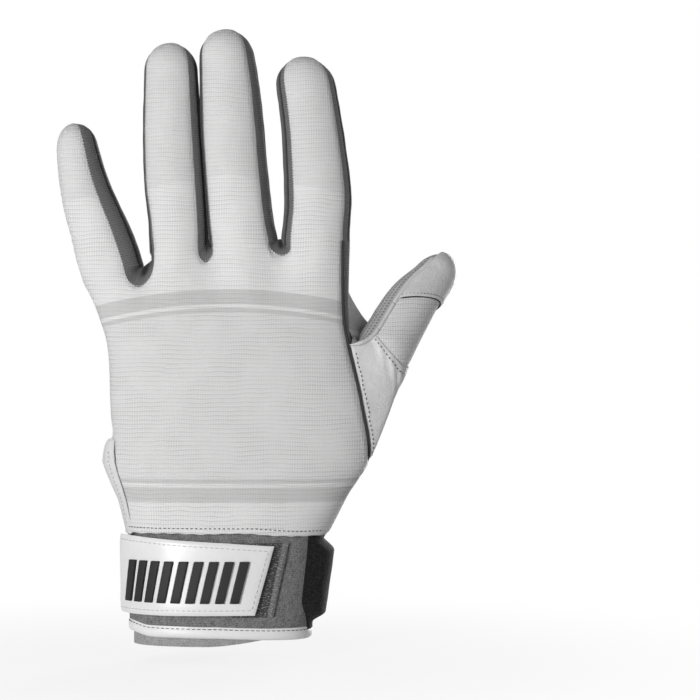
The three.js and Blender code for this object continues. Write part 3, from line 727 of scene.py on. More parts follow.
def newObject(name, points, faces, finish, uv=None, fold=None):
    mesh = bpy.data.meshes.new(name)
    mesh.from_pydata((np.asarray(points).reshape(-1, 3) * mm).tolist(), [], faces)
    if uv is not None:
        layer = mesh.uv_layers.new(name="cloth")
        corners = np.zeros(len(mesh.loops), int)
        mesh.loops.foreach_get("vertex_index", corners)
        layer.data.foreach_set("uv", (uv.reshape(-1, 2) * mm)[corners].ravel())
    # fold is a painted shade for each point, read by the strips' finish
    if fold is not None:
        layer = mesh.attributes.new("fold", "FLOAT", "POINT")
        layer.data.foreach_set("value", np.asarray(fold, float).ravel())
    mesh.materials.append(finishes[finish])
    obj = bpy.data.objects.new(name, mesh)
    scene.collection.objects.link(obj)
    return obj


def gridFaces(rows, columns, closed=False):
    at = np.arange(rows * columns).reshape(rows, columns)
    if closed:
        at = np.concatenate([at, at[:, :1]], axis=1)
    return np.stack([at[:-1, :-1], at[:-1, 1:], at[1:, 1:], at[1:, :-1]], axis=-1).reshape(-1, 4).tolist()


surfaces = {}  # outer faces that stitches are laid on


def sheetPiece(name, grid, finish, wall, uv=None, closed=False, sharp=50, fold=None):
    rows, columns = grid.shape[:2]
    faces = gridFaces(rows, columns, closed)
    surfaces[name] = BVHTree.FromPolygons(grid.reshape(-1, 3).tolist(), faces)
    obj = newObject(name, grid, faces, finish, grid[..., ::2] if uv is None else uv, fold)
    onWholeMesh(obj, bpy.ops.mesh.remove_doubles, threshold=2e-6)
    if wall:
        shell = obj.modifiers.new("wall", "SOLIDIFY")
        shell.thickness = wall * mm
        shell.offset = -1
        shell.thickness_clamp = 1.6
    applyAll(obj)
    bpy.ops.object.shade_smooth_by_angle(angle=math.radians(sharp))
    return obj


def loopPiece(name, rings, finish, uv=None):  # a ring of closed outlines, closed on itself
    rows, columns = rings.shape[:2]
    at = np.arange(rows * columns).reshape(rows, columns)
    after = np.roll(at, -1, 0)
    faces = np.stack([at, np.roll(at, -1, 1), np.roll(after, -1, 1), after], axis=-1).reshape(-1, 4).tolist()
    obj = newObject(name, rings, faces, finish, rings[..., ::2] if uv is None else uv)
    selectOnly(obj)
    bpy.ops.object.shade_smooth_by_angle(angle=math.radians(50))
    return obj


def dress(nodes):  # hides the nodes that it replaces
    if nodes:
        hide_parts(*nodes)


def follow(obj, slot, nodes, bodies, start, end):  # hides the nodes it replaces and bakes the object's transform
    dress(nodes)
    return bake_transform(obj)


def settle(obj, slot, nodes=(), digit=None, part=None):  # rides the hand, or bakes a part of a digit in place
    if digit is None:
        dress(nodes)
        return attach(obj, "hand")
    d = digits[digit]
    if part == "lower":
        ends = (0, d["cut"] - bend["lowerEnd"])
        bodies = ("hand", digit + "_lower")
    else:
        ends = (d["lower"] - bend["upperBefore"], d["lower"] + bend["upperPast"])
        bodies = (digit + "_lower", digit + "_upper")
    return follow(obj, slot, nodes, bodies, *(axisPoint(d, s) for s in ends))


# Stitches: one bent dash, laid along a line again and again
def evenly(line, normals, pitch):
    along = lengthAlong(line)
    count = max(int(along[-1] / pitch), 1)
    spots = (np.arange(count) + 0.5) * along[-1] / count
    ahead = unit(pick(spots + 0.2, along, line) - pick(spots - 0.2, along, line))
    return pick(spots, along, line), ahead, unit(pick(spots, along, normals))


def stitchMesh(runs, pitch, dash, thick):
    sides = 5
    spin = np.arange(sides) * 2 * math.pi / sides
    bow = [(-0.5, -0.6, 0.5), (-0.28, 0.35, 1.0), (0.28, 0.35, 1.0), (0.5, -0.6, 0.5)]  # along, up, width
    points, faces = [], []
    for line, normals in runs:
        at, ahead, up = evenly(line, normals, pitch)
        side = np.cross(ahead, up)
        rings = []
        for along, lift, width in bow:
            middle = at + ahead * dash * along + up * thick * lift
            ring = side[:, None] * np.cos(spin)[:, None] + up[:, None] * np.sin(spin)[:, None]
            rings.append(middle[:, None] + ring * thick / 2 * width)
        points.append(np.stack(rings, axis=1).reshape(-1, 3))
    everything = np.concatenate(points)
    for k in range(len(everything) // (sides * len(bow))):
        base = k * sides * len(bow)
        for r in range(len(bow) - 1):
            for c in range(sides):
                a, b = base + r * sides + c, base + r * sides + (c + 1) % sides
                faces.append((a, b, b + sides, a + sides))
        faces.append(tuple(base + c for c in reversed(range(sides))))
        faces.append(tuple(base + (len(bow) - 1) * sides + c for c in range(sides)))
    return everything, faces


def stitchPiece(name, runs, thread, pitch=1.5, dash=0.95, thick=0.34):
    obj = newObject(name, *stitchMesh(runs, pitch, dash, thick), thread)
    selectOnly(obj)
    bpy.ops.object.shade_smooth()
    return obj


def lineOn(grid, column, rows):  # a line down a grid's column, with its normals
    normals = gridNormals(grid)
    return grid[rows, column] + 0.05 * normals[rows, column], normals[rows, column]


def laidOn(surface, line, towards):  # the line dropped on a surface, with the surface's normals there
    spots, ups = [], []
    for p in np.asarray(line, float):
        hit, normal, _, _ = surfaces[surface].ray_cast(Vector(p - np.asarray(towards) * 80), Vector(towards))
        if hit:
            spots.append(hit)
            ups.append(normal)
    return np.array(spots), np.array(ups)


def tubePiece(name, line, normals, radius, finish, tapered=(3, 3), sides=8):  # tapered over that many rings
    ahead = unit(np.gradient(line, axis=0))
    side = unit(np.cross(ahead, normals))
    up = np.cross(side, ahead)
    spin = np.arange(sides) * 2 * math.pi / sides
    spots = np.arange(len(line))
    width = np.ones(len(line)) * radius
    for length, far in zip(tapered, (spots, spots[::-1])):
        if length:
            width *= np.minimum(1, far / length + 0.2)
    rings = line[:, None] + width[:, None, None] * (
        side[:, None] * np.cos(spin)[:, None] + up[:, None] * np.sin(spin)[:, None])
    faces = [face[::-1] for face in gridFaces(len(line), sides, True)]
    faces += [list(range(sides)), [(len(line) - 1) * sides + c for c in reversed(range(sides))]]
    obj = newObject(name, rings, faces, finish)
    onWholeMesh(obj, bpy.ops.mesh.normals_make_consistent, inside=False)
    bpy.ops.object.shade_smooth()
    return obj


# Soft unevenness of the cloths
def knitRelief(grid):
    return 0.16 * cloud(grid, 13) + 0.07 * cloud(grid, (4, 4, 2.6), 7.3)


def leatherRelief(grid, amount=1.0):
    broad = 0.22 * cloud(grid, 15, 3.1) + 0.10 * cloud(grid, 5, 9.2)
    folds = bell(cloud(grid, (26, 16, 7), 5.7), 0.10) * smooth(cloud(grid, 30, 1.9), 0.0, 0.35)
    return amount * (broad - 0.32 * folds)


def lifted(grid, height, closed=False):
    return grid + gridNormals(grid, closed) * np.asarray(height)[..., None]


print("tools ready")


# Pads: their outlines, and the grooves that their seams draw in the leather
fingerPad = {"end": 2.2, "halfWidth": 8.0, "corner": {"lower": 5.6, "upper": 7.4}, "start": 1.5, "edge": 2.6,
             "sink": 0.9, "rings": 16, "spokes": 96, "groove": 0.75, "grooveReach": 1.2,
             "creases": (5.2, 7.6, 10.4, 13.0, 16.4), "wall": 0.8, "seamOut": 0.45}
palmPad = {
    "outline": [(28, 136.6), (3, 134.5), (-7, 130), (-12.3, 115), (-9, 105.5), (6, 93.8), (14, 92.3),
                (22, 97), (37, 114), (40.5, 125), (37, 134)],
    "middle": (13.5, 117), "start": 1.4, "edge": 6, "rings": 34, "spokes": 144, "sink": 0.9, "fill": 0.5,
    "groove": 0.8, "grooveReach": 1.7, "wall": 0.9, "seamScale": 1.03,
}
swell = {"radius": 170, "pressure": 3.2, "frames": 20, "mass": 0.3, "stiff": 15, "shear": 5, "bending": 0.5,
         "grow": -0.015, "cap": 1.6}


def closedCurve(points, count):  # a smooth closed line through given points
    p = np.asarray(points, float)
    t = np.arange(count) * len(p) / count
    k, s = np.floor(t).astype(int), (t % 1)[:, None]
    a, b, c, d = (p[(k + i) % len(p)] for i in (-1, 0, 1, 2))
    return b + 0.5 * s * (c - a + s * (2 * a - 5 * b + 4 * c - d + s * (3 * (b - c) + d - a)))


def padStretches(digit):  # where the digit's pads begin and end
    found = {"lower": digit["lowerPad"]}
    if digit["upperPad"]:
        first = digit["lower"] + fingerPad["end"]
        found["upper"] = (first, first + digit["upperPad"])
    return found


def padOff(digit, part, distance, angle):  # mm outside a pad's outline, negative inside it
    first, last = padStretches(digit)[part]
    corner = fingerPad["corner"][part]
    wide = np.abs(np.radians(angle - 180) * digit["halfWidth"][1]) - fingerPad["halfWidth"] + corner
    tall = np.abs(distance - (first + last) / 2) - (last - first) / 2 + corner
    return np.hypot(np.maximum(wide, 0), np.maximum(tall, 0)) + np.minimum(np.maximum(wide, tall), 0) - corner


def padGroove(digit, distance, angle):  # how far the leather sinks along the pads' seams
    off = np.min([np.abs(padOff(digit, part, distance, angle) - 0.4) for part in padStretches(digit)], axis=0)
    return fingerPad["groove"] * bell(off, fingerPad["grooveReach"])


def onDigit(digit, grid):  # distance and angle of points on the palm below a finger
    away = grid - digit["fold"]
    distance = away @ digit["along"]
    across = away @ digit["across"]
    across = across - sideShift(digit, distance, np.clip(across / digit["halfWidth"][0], -1, 1))
    return distance, 180 - np.degrees(np.arcsin(np.clip(across / digit["halfWidth"][0], -1, 1)))


# Hand panels
handPanel = {"knitWall": 1.0, "leatherWall": 1.3, "seamDrop": 0.7, "seamReach": 1.0, "hemWave": 0.14,
             "edgeRise": 0.3, "littleRise": 1.3}
heel = {"tuck": [(36, 0), (40, 1.6), (43, 2.0), (51, 2.4), (58, 1.9), (64, 1.5), (70, 1.4), (75, 1.7),
                 (79, 2.0), (84, 0.6), (88, 0.1), (92, 0)]}


def sectionAt(z):  # the hand's outline at a height
    heights = [-section["z"] for section in sections]
    return {key: np.interp(-z, heights, [section[key] for section in sections])
            for key in ("x", "half", "back", "palm")} | {"z": z}


def tucked(grid):  # the little side's outline drawn in above the cuff
    section = sectionAt(grid[..., 2])
    out = (section["x"] - grid[..., 0]) / section["half"]
    amount = softTable(grid[..., 2], heel["tuck"])
    return grid + np.stack([amount * smooth(out, 0.6, 0.97), 0 * out, 0 * out], axis=-1)


def evened(grid, amount, reach):  # valleys below the webs smoothed by planes fitted round each point
    first = int(np.argmax(amount.max(axis=1) > 0)) - 8
    part = grid[first:]
    tall, wide = (np.linalg.norm(np.gradient(part, axis=k), axis=-1) for k in (0, 1))
    weight = (tall * wide).ravel()
    x, y, z = part.reshape(-1, 3).T
    even = grid.copy()
    for row, flat in zip(part, even[first:]):
        across, up = x - row[:, :1], z - row[:, 2:]
        pull = np.exp(-(across**2 + up**2) / reach**2) * weight
        terms = [1 + 0 * across, across, up]
        sums = np.array([[(pull * a * b).sum(axis=1) for b in terms] for a in terms]).transpose(2, 0, 1)
        right = np.array([(pull * a * y).sum(axis=1) for a in terms]).T[..., None]
        flat[:, 1] = np.linalg.solve(sums, right)[:, 0, 0]
    return mix(grid, even, amount[..., None])


def handGrid(side):
    curves, isWeb = handCurves(side)
    rows = handRows(cuffRow, 0)[:, None]
    grid = curveAt(curves, rows)
    outward = unit(curveAt(handCurves(side, -1.0)[0], rows) - grid)
    toWeb = np.min(np.abs(grid[..., 0, None] - grid[-1, isWeb, 0]), axis=-1)
    high = smooth(grid[..., 2], 114, 124)
    outward[..., 0] *= 1 - high * smooth(-toWeb, -11, -3)  # no sideways shift round the narrow webs
    amount = smooth(-toWeb, -13, -4) * smooth(edgeDistance(grid, ["high"]), 0.5, 5) * high
    grid = evened(grid, amount * smooth(edgeDistance(grid, ["left", "right"]), 6, 14), 5.0)
    far = edgeDistance(grid, ["left", "right", "low"])
    for spot in grid[-1, isWeb]:
        far = np.minimum(far, np.linalg.norm(grid - spot, axis=-1))
    return tucked(grid), far, unit(outward)


def edgeRise(x):  # the knit's lower edge is higher on the little side
    return handPanel["edgeRise"] + handPanel["littleRise"] * smooth(-x, -32, -10)


def backPanel():
    grid, near, outward = handGrid("back")
    low = smooth(-grid[..., 2], -46, -40)
    x = grid[..., 0]
    grid[..., 2] += low * edgeRise(x)
    grid[..., 2] += handPanel["hemWave"] * low * np.sin(x / 4.1) + 0.1 * low * np.sin(x / 0.9)
    drop = handPanel["seamDrop"] * bell(near, handPanel["seamReach"])
    grid = grid + outward * (knitRelief(grid) * smooth(near, 0, 5) - drop)[..., None]
    return settle(sheetPiece("back_knit", grid, "knit", handPanel["knitWall"]), "knit", ["back_panel"])


def palmPanel():
    grid, near, outward = handGrid("palm")
    surfaces["palm_smooth"] = BVHTree.FromPolygons(grid.reshape(-1, 3).tolist(), gridFaces(*grid.shape[:2]))
    drop = handPanel["seamDrop"] * bell(near, handPanel["seamReach"])
    creases = bell(cloud(grid, (40, 20, 6), 2.2), 0.12) * smooth(-grid[..., 0], 5, 32)  # on the little side
    creases *= smooth(grid[..., 2], 78, 92) * smooth(-grid[..., 2], -136, -122)
    toPad = np.full(grid.shape[:2], 99.0)
    for spot in closedCurve(palmPad["outline"], palmPad["spokes"]):
        toPad = np.minimum(toPad, np.linalg.norm(grid[..., ::2] - spot, axis=-1))
    groove = palmPad["groove"] * bell(toPad, palmPad["grooveReach"])
    for name in fingerNames:
        groove = np.maximum(groove, padGroove(digits[name], *onDigit(digits[name], grid)))
    height = (leatherRelief(grid) - 0.5 * creases) * smooth(near, 0, 4) - drop - groove
    grid = grid + outward * height[..., None]
    piece = sheetPiece("palm_leather", grid, "leather", handPanel["leatherWall"])
    return settle(piece, "leather", ["palm_panel"])


# the last two entries set the painted shade in the gusset's crease and along its back edge
gussetLook = {"columns": 25, "sink": 0.3, "wall": 0.9, "creasePaintedShade": 0.95, "edgePaintedShade": 0.8}


def gusset(name, node, rows, finish, slot):
    share = np.linspace(0.0, 1.0, gussetLook["columns"])
    grid = curveAt(edgeCurves(share), rows[:, None])
    grid = lifted(grid, -gussetLook["sink"] + 0 * grid[..., 0])
    wide = np.linalg.norm(grid - grid[:, :1], axis=-1)
    uv = np.stack([wide, grid[..., 2]], axis=-1)
    index = digits["index"]
    crease = (index["crease"][1] - index["backSeam"][1]) / (index["palmSeam"][1] - index["backSeam"][1])
    # painted shade: darker in the gusset's crease and along its edge at the back
    fold = gussetLook["creasePaintedShade"] * bell(share - crease, 0.05)
    fold = fold + gussetLook["edgePaintedShade"] * bell(share, 0.06) + 0 * wide
    piece = sheetPiece(name, grid, finish, gussetLook["wall"], uv, fold=fold)
    return settle(piece, slot, [node])


def stripCrease(digit, seam, angle):
    return bell(angle - digit["crease"][seam], stripLook["foldWidth"])


def paintedStripShade(digit, seam, angle):  # a strip's painted shade: darker from its back seam on, where it turns away, and darkest in its fold
    turned = smooth(np.abs(angle), abs(digit["backSeam"][seam]), 90)
    shade = stripLook["turned"] * turned + stripLook["foldPaintedShade"] * stripCrease(digit, seam, angle)
    return np.minimum(shade, stripLook["darkest"])


# the slit, palm and darkest entries set painted shade: dark in the slit between two fingers and towards the
# palm
webLook = {"wall": 0.9, "sink": 0.35, "slit": 0.09, "slitPaintedShade": 0.9, "palmPaintedShade": 0.5, "darkest": 0.97}


def webPiece(web):
    little, thumbward = digits[web["little"]], digits[web["thumb"]]
    v = np.linspace(0, 1, webColumns * 2 + 1)
    share = np.linspace(1, 0, 19)
    back, palm = webPoint(web, "back", v), webPoint(web, "palm", v)
    middle = np.sin(math.pi * v)
    grid = mix(back[:, None], palm[:, None], share[None, :, None])
    fold = np.zeros(grid.shape[:2])
    for k, value in enumerate(v):
        digit, seam = (little, 1) if value < 0.5 else (thumbward, 0)
        endBack, endPalm = webPoint(web, "back", round(value)), webPoint(web, "palm", round(value))
        angle = mix(digit["backSeam"][seam], digit["palmSeam"][seam], share)
        swing = digitPoint(digit, 0 * angle, angle) - mix(endBack, endPalm, share[:, None])
        grid[k] += swing * (1 - middle[k])
        grid[k, :, 2] += web["rise"] * middle[k] ** 1.3 * np.sin(math.pi * share)
        # painted shade: the strips' shade carried into the web, darker towards the palm and darkest in the
        # slit
        slit = bell(value - 0.5, webLook["slit"]) * smooth(share, 0.06, 0.2)
        palmward = webLook["palmPaintedShade"] * smooth(share, 0.04, 0.34)
        fold[k] = mix(paintedStripShade(digit, seam, angle), palmward, middle[k]) + webLook["slitPaintedShade"] * slit
    grid = lifted(grid, -webLook["sink"] + 0.06 * cloud(grid, 4))
    far = np.linalg.norm(grid - grid[:, -1:], axis=-1)
    uv = np.stack([far, np.broadcast_to(lengthAlong(back)[:, None], far.shape)], axis=-1)
    fold = np.minimum(fold, webLook["darkest"])
    piece = sheetPiece(web["name"] + "_cloth", grid, "strip", webLook["wall"], uv, fold=fold)
    return settle(piece, "dark_knit", [web["name"]])


# thread and the shift after it size and place a dark tube along the front edge: the seam with a painted
# shadow line in it
flap = {"high": 76.9, "low": 41, "behind": -108, "wall": 0.8, "corner": 0.9, "cornerFrom": 0.72,
        "columns": 30, "topFall": 3.4, "pressed": 0.5, "thread": 0.22, "shadowLineShift": (0.2, -0.55, 0.0),
        "lift": [(41, 0), (46, 0.6), (52, 1.1), (58, 1.6), (64, 1.7), (70, 1.7), (74, 1.9), (78, 1.6)],
        "seam": [(41, -34.0), (51, -36.1), (56, -37.6), (61, -39), (67, -40.9), (72, -41.6), (78, -41.0)]}


def heelPoint(z, angle):  # on the flap's outer face
    section = sectionAt(z)
    lift = softTable(z, flap["lift"])
    turn = np.radians(angle)
    out = np.where(np.cos(turn) > 0, section["back"], section["palm"])
    x = section["x"] + (section["half"] + lift) * power(np.sin(turn))
    y = -(out + lift) * power(np.cos(turn))
    return tucked(np.stack([x, y, z + 0 * x], axis=-1))


def heelFlap():  # the palm's leather lapped over the back's edge, round at its upper end
    u = np.linspace(0, 1, flap["columns"])[None, :]
    v = np.linspace(0, 1, 46)[:, None]
    corner = np.clip((u - flap["cornerFrom"]) / (1 - flap["cornerFrom"]), 0, 1)
    top = flap["high"] - flap["corner"] * (1 - np.sqrt(1 - corner**2))
    top = top - flap["topFall"] * smooth(-u, -0.86, -0.34)
    z = mix(flap["low"], top, v)
    angles = np.linspace(-90, -20, 141)
    seam = np.polyfit(*np.array(flap["seam"], float).T, 4)
    front = np.array([
        np.interp(np.polyval(seam, height), heelPoint(height + 0 * angles, angles)[:, 0], angles)
        for height in z.mean(axis=1)
    ])[:, None]
    grid = heelPoint(z, mix(flap["behind"], front, u))
    pressed = flap["pressed"] * np.interp(z, *np.array(flap["lift"], float).T)
    grid = lifted(grid, -pressed * smooth(u, 0.7, 1.0))
    grid = lifted(turnedIn(grid, ["right", "high"], 0.6, 0.8), 0.14 * cloud(grid, 7, 3.9))
    settle(sheetPiece("heel_flap_leather", grid, "leather", flap["wall"]), "leather")
    run = lineOn(grid, -5, slice(4, 40))
    settle(stitchPiece("heel_flap_stitches", [run], "greyThread", 1.6, 0.9, 0.32), "leather")
    # a thin dark tube along the front edge: the seam and a painted shadow line in it
    edge = grid[3:, -1] + np.array(flap["shadowLineShift"])
    up = gridNormals(grid)[3:, -1]
    thread = tubePiece("heel_flap_seam_shadow", edge, up, flap["thread"], "seamShadowThread", (12, 6))
    settle(thread, "dark_knit")


backPanel()
palmPanel()
heelFlap()
gusset("index_gusset_cloth", "index_gusset", handRows(crotchRow, 0), "side", "dark_knit")
gusset("wrist_gusset_cloth", "wrist_gusset", handRows(cuffRow, thumbEndRow), "mesh", "elastic")
for web in webs:
    webPiece(web)
print("hand panels done")


# Fingers: knit backs, leather fronts, dark strips
fingerPanel = {"step": 1.0, "knitWall": 0.9, "leatherWall": 1.1, "stripWall": 0.9, "stripDepth": 0.3,
               "seamDrop": 0.65, "knitDrop": 0.32, "foldDepth": 0.5, "foldLine": 0.55, "secondFold": 0.42}


def digitGrid(digit, stretch, angles, columns):
    rows = max(int((stretch[1] - stretch[0]) / fingerPanel["step"]), 6)
    distance = np.linspace(*stretch, rows + 1)[:, None]
    angle = np.linspace(*angles, columns)[None, :]
    return digitPoint(digit, distance, angle), distance + 0 * angle, angle + 0 * distance


def seamFall(digit, distance, angle, angles):  # how near a point is to the panel's two seams
    rise = np.maximum(distance - digit["straight"], 0) / tipLength
    radius = mix(*digit["halfWidth"], np.minimum(distance / digit["straight"], 1)) * np.cos(rise)
    far = np.radians(np.minimum(angle - angles[0], angles[1] - angle)) * radius
    width = np.radians(angles[1] - angles[0]) * radius
    return bell(far, 0.9) * smooth(width, 0.5, 9)


def foldCreases(digit, distance, angle):  # soft crosswise folds at the finger's joints
    creases = 0
    sway = 1.1 * np.sin(np.radians(angle) * 2.3)
    second = digit["lower"] + fingerPanel["secondFold"] * (digit["length"] - digit["lower"])
    for spot, depth in ((digit["lower"], 0.28), (second, 0.22)):
        creases = creases + depth * bell(distance - spot, 5.5) * np.sin((distance - spot) * 1.75 + sway)
    return creases


def knitStretch(name, part, digit, stretch, angles):
    grid, distance, angle = digitGrid(digit, stretch, angles, fingerColumns)
    fall = seamFall(digit, distance, angle, angles)
    calm = 1 - smooth(distance, digit["straight"] + 6, digit["end"])
    bumps, start = knitRelief(grid), smooth(distance, 0, 5)
    height = (bumps + 0.45 * foldCreases(digit, distance, angle)) * calm * (1 - fall) * start
    grid = lifted(grid, bumps * (1 - start) * (1 - fall) + height - fingerPanel["knitDrop"] * fall)
    return sheetPiece(f"{name}_back_{part}_knit", grid, "knit", fingerPanel["knitWall"])


def leatherStretch(name, part, digit, stretch, angles):
    grid, distance, angle = digitGrid(digit, stretch, angles, fingerColumns)
    fall = seamFall(digit, distance, angle, angles)
    calm = 1 - smooth(distance, digit["straight"] + 6, digit["end"])
    start = smooth(distance, 0, 4)
    height = leatherRelief(grid) * (1 - fall) * np.maximum(calm, 1 - start)
    height = height + 1.1 * foldCreases(digit, distance, angle) * calm * start * (1 - fall)
    front = np.cos(np.radians(angle - 180))
    line = bell(distance - digit["lower"] - 1.2 + 2.4 * front, 0.9)
    height = height - fingerPanel["foldLine"] * line * smooth(front, 0.3, 0.7)
    grid = lifted(grid, height - fingerPanel["seamDrop"] * fall - padGroove(digit, distance, angle))
    return sheetPiece(f"{name}_palm_{part}_leather", grid, "leather", fingerPanel["leatherWall"])


def stripStretch(node, digit, stretch, angles, fromLast, finish="strip"):
    grid, distance, angle = digitGrid(digit, stretch, angles, 23)
    seam = 0 if fromLast else 1
    crease, fold = 0 * angle, 0 * angle
    if "crease" in digit:
        crease = stripCrease(digit, seam, angle)
        # painted shade in the strip's fold and on its turned side
        fold = paintedStripShade(digit, seam, angle)
    depth = fingerPanel["stripDepth"] + 0.12 * cloud(grid, 5) + fingerPanel["foldDepth"] * crease
    grid = digitPoint(digit, distance, angle, depth)
    edge = grid[:, -1:] if fromLast else grid[:, :1]
    uv = np.stack([np.linalg.norm(grid - edge, axis=-1), distance], axis=-1)
    return sheetPiece(node + "_cloth", grid, finish, fingerPanel["stripWall"], uv, fold=fold)


def stretches(digit):
    return {"lower": (0, digit["cut"]), "upper": (digit["cut"], digit["end"])}


for name in fingerNames:
    digit = digits[name]
    back = (digit["backSeam"][0] + seamEdge, digit["backSeam"][1] - seamEdge)
    palm = (digit["palmSeam"][1] - seamEdge, digit["palmSeam"][0] + 360 + seamEdge)
    for part, stretch in stretches(digit).items():
        piece = knitStretch(name, part, digit, stretch, back)
        settle(piece, "knit", [f"{name}_back_{part}"], digit=name, part=part)
        piece = leatherStretch(name, part, digit, stretch, palm)
        settle(piece, "leather", [f"{name}_palm_{part}"], digit=name, part=part)
        node = f"{name}_thumbward_strip_{part}"
        finish = "side" if name == "index" else "strip"
        seams = (digit["backSeam"][1], digit["palmSeam"][1])
        settle(stripStretch(node, digit, stretch, seams, False, finish), "dark_knit", [node], name, part)
        if digit["palmSeam"][0] < digit["backSeam"][0]:
            node = f"{name}_outer_strip_{part}"
            seams = (digit["palmSeam"][0], digit["backSeam"][0])
            settle(stripStretch(node, digit, stretch, seams, True), "dark_knit", [node], name, part)
print("fingers done")


# Pads: leather over foam, swollen by a cloth simulation, sewn down round their outlines
def crown(inside, start, edge, sink):  # the foam's height from its rim inwards
    share = np.clip(inside / edge, 0, 1)
    return start * np.sqrt(1 - (1 - share) ** 2) - sink * bell(np.maximum(inside, 0), 0.3)


def padOutline(part, stretch, count):  # across and along from the pad's middle, evenly spaced
    corner = fingerPad["corner"][part]
    spin = -np.linspace(0, 2 * math.pi, 97)
    half = np.array([fingerPad["halfWidth"], (stretch[1] - stretch[0]) / 2]) - corner
    turn = np.stack([np.cos(spin), np.sin(spin)], axis=-1)
    line = np.sign(np.round(turn, 9)) * half + corner * turn
    along = lengthAlong(line)
    return pick(np.arange(count) * along[-1] / count, along, line)


def fingerPadGrid(digit, part, grow=0.0):  # distance and angle of a pad's points, ring by ring
    stretch = padStretches(digit)[part]
    outline = padOutline(part, stretch, fingerPad["spokes"])
    outline = outline + grow * unit(outline / (fingerPad["halfWidth"], (stretch[1] - stretch[0]) / 2))
    share = np.linspace(0, 1, fingerPad["rings"])[:, None]
    angle = 180 + np.degrees(outline[None, :, 0] * share / digit["halfWidth"][1])
    return sum(stretch) / 2 + outline[None, :, 1] * share, angle


def fingerPadStart(digit, part):  # the pad before it swells, on the finger and on the palm below it
    distance, angle = fingerPadGrid(digit, part)
    base, outward = digitLine(digit, distance, angle)
    for at in np.argwhere(distance < 0):
        spot = base[tuple(at)]
        hit = surfaces["palm_smooth"].ray_cast(Vector((spot[0], 80, spot[2])), Vector((0, -1, 0)))[0]
        spot[1] = mix(spot[1], hit[1], smooth(-distance[tuple(at)], 0, 2))
    inside = -padOff(digit, part, distance, angle)
    return base + outward * crown(inside, fingerPad["start"], fingerPad["edge"], fingerPad["sink"])[..., None]


def palmPadStart():
    outline = closedCurve(palmPad["outline"], palmPad["spokes"])[::-1]
    share = np.linspace(0, 1, palmPad["rings"])[:, None]
    flat = mix(np.array(palmPad["middle"]), outline[None], share[..., None])
    spread = np.stack([flat[..., 0], 0 * flat[..., 0], flat[..., 1]], axis=-1)
    spots, ups = laidOn("palm_smooth", spread.reshape(-1, 3), (0, -1, 0))
    spots, ups = spots.reshape(spread.shape), ups.reshape(spread.shape)
    for _ in range(6):
        ups = unit(ups + np.roll(ups, 1, 1) + np.roll(ups, -1, 1) + ups[[*range(1, len(ups)), len(ups) - 1]])
    inside = edgeDistance(spots, ["high"])
    return spots + ups * crown(inside, palmPad["start"], palmPad["edge"], palmPad["sink"])[..., None]


def swellScale(grid):
    return swell["radius"] / np.linalg.norm(grid[-1] - grid[0], axis=-1).mean()


def clothCopy(name, grid):  # a larger copy of a pad, one middle point, its rim pinned
    rings, spokes = grid.shape[:2]
    at = np.arange(1, 1 + (rings - 1) * spokes).reshape(rings - 1, spokes)
    faces = [(0, b, a) for a, b in zip(at[0].tolist(), np.roll(at[0], -1).tolist())]
    faces += [[k + 1 for k in face] for face in gridFaces(rings - 1, spokes, True)]
    points = np.concatenate([grid[0, :1], grid[1:].reshape(-1, 3)]) - grid[0, 0]
    copy = newObject(name + "_copy", points * swellScale(grid), faces, "leather")
    copy.vertex_groups.new(name="rim").add(at[-1].tolist(), 1.0, "REPLACE")
    cloth = copy.modifiers.new("swell", "CLOTH")
    cloth.settings.quality = 6
    cloth.settings.mass = swell["mass"]
    cloth.settings.tension_stiffness = swell["stiff"]
    cloth.settings.compression_stiffness = swell["stiff"]
    cloth.settings.shear_stiffness = swell["shear"]
    cloth.settings.bending_stiffness = swell["bending"]
    cloth.settings.use_pressure = True
    cloth.settings.uniform_pressure_force = swell["pressure"]
    cloth.settings.shrink_min = swell["grow"]
    cloth.settings.vertex_group_mass = "rim"
    cloth.settings.effector_weights.gravity = 0
    cloth.collision_settings.use_collision = False
    cloth.point_cache.frame_start = 1
    cloth.point_cache.frame_end = swell["frames"]
    return copy


def swollen(starts):  # every pad blown up by cloth simulation, with a limit on how far a point moves
    scene.frame_set(1)
    copies = {name: clothCopy(name, grid) for name, grid in starts.items()}
    for frame in range(1, swell["frames"] + 1):
        scene.frame_set(frame)
    found = {}
    for name, copy in copies.items():
        applyAll(copy)
        start = starts[name]
        after = np.array([v.co for v in copy.data.vertices]) / (mm * swellScale(start)) + start[0, 0]
        after = np.concatenate([np.repeat(after[:1], start.shape[1], axis=0), after[1:]]).reshape(start.shape)
        moved = after - start
        far = np.maximum(np.linalg.norm(moved, axis=-1, keepdims=True), 1e-6)
        found[name] = start + moved * np.tanh(far / swell["cap"]) * swell["cap"] / far
        print("pad swollen:", name, "moved up to", round(float(far.max()), 2), "mm")
        bpy.data.objects.remove(copy)
    scene.frame_set(1)
    return found


def nearestOn(names, line, outward):  # the line drawn to the nearest of some surfaces, with normals
    spots, ups = [], []
    for p, out in zip(line, outward):
        hits = [surfaces[name].find_nearest(Vector(p)) for name in names]
        hit = min(hits, key=lambda h: h[3])
        spots.append(hit[0])
        ups.append(hit[1] if hit[1].dot(Vector(out)) > 0 else -hit[1])
    return np.array(spots), np.array(ups)


def padCreases(digit, part, distance, angle):  # short crosswise creases on the lower half of the long pads
    if part == "lower":
        return 0 * distance
    bow = distance + 0.6 * np.cos(np.radians(angle) * 3) - padStretches(digit)[part][0]
    lines = sum(bell(bow - at, 0.34) for at in fingerPad["creases"])
    return 0.2 * lines * smooth(-np.abs(angle - 180), -34, -16)


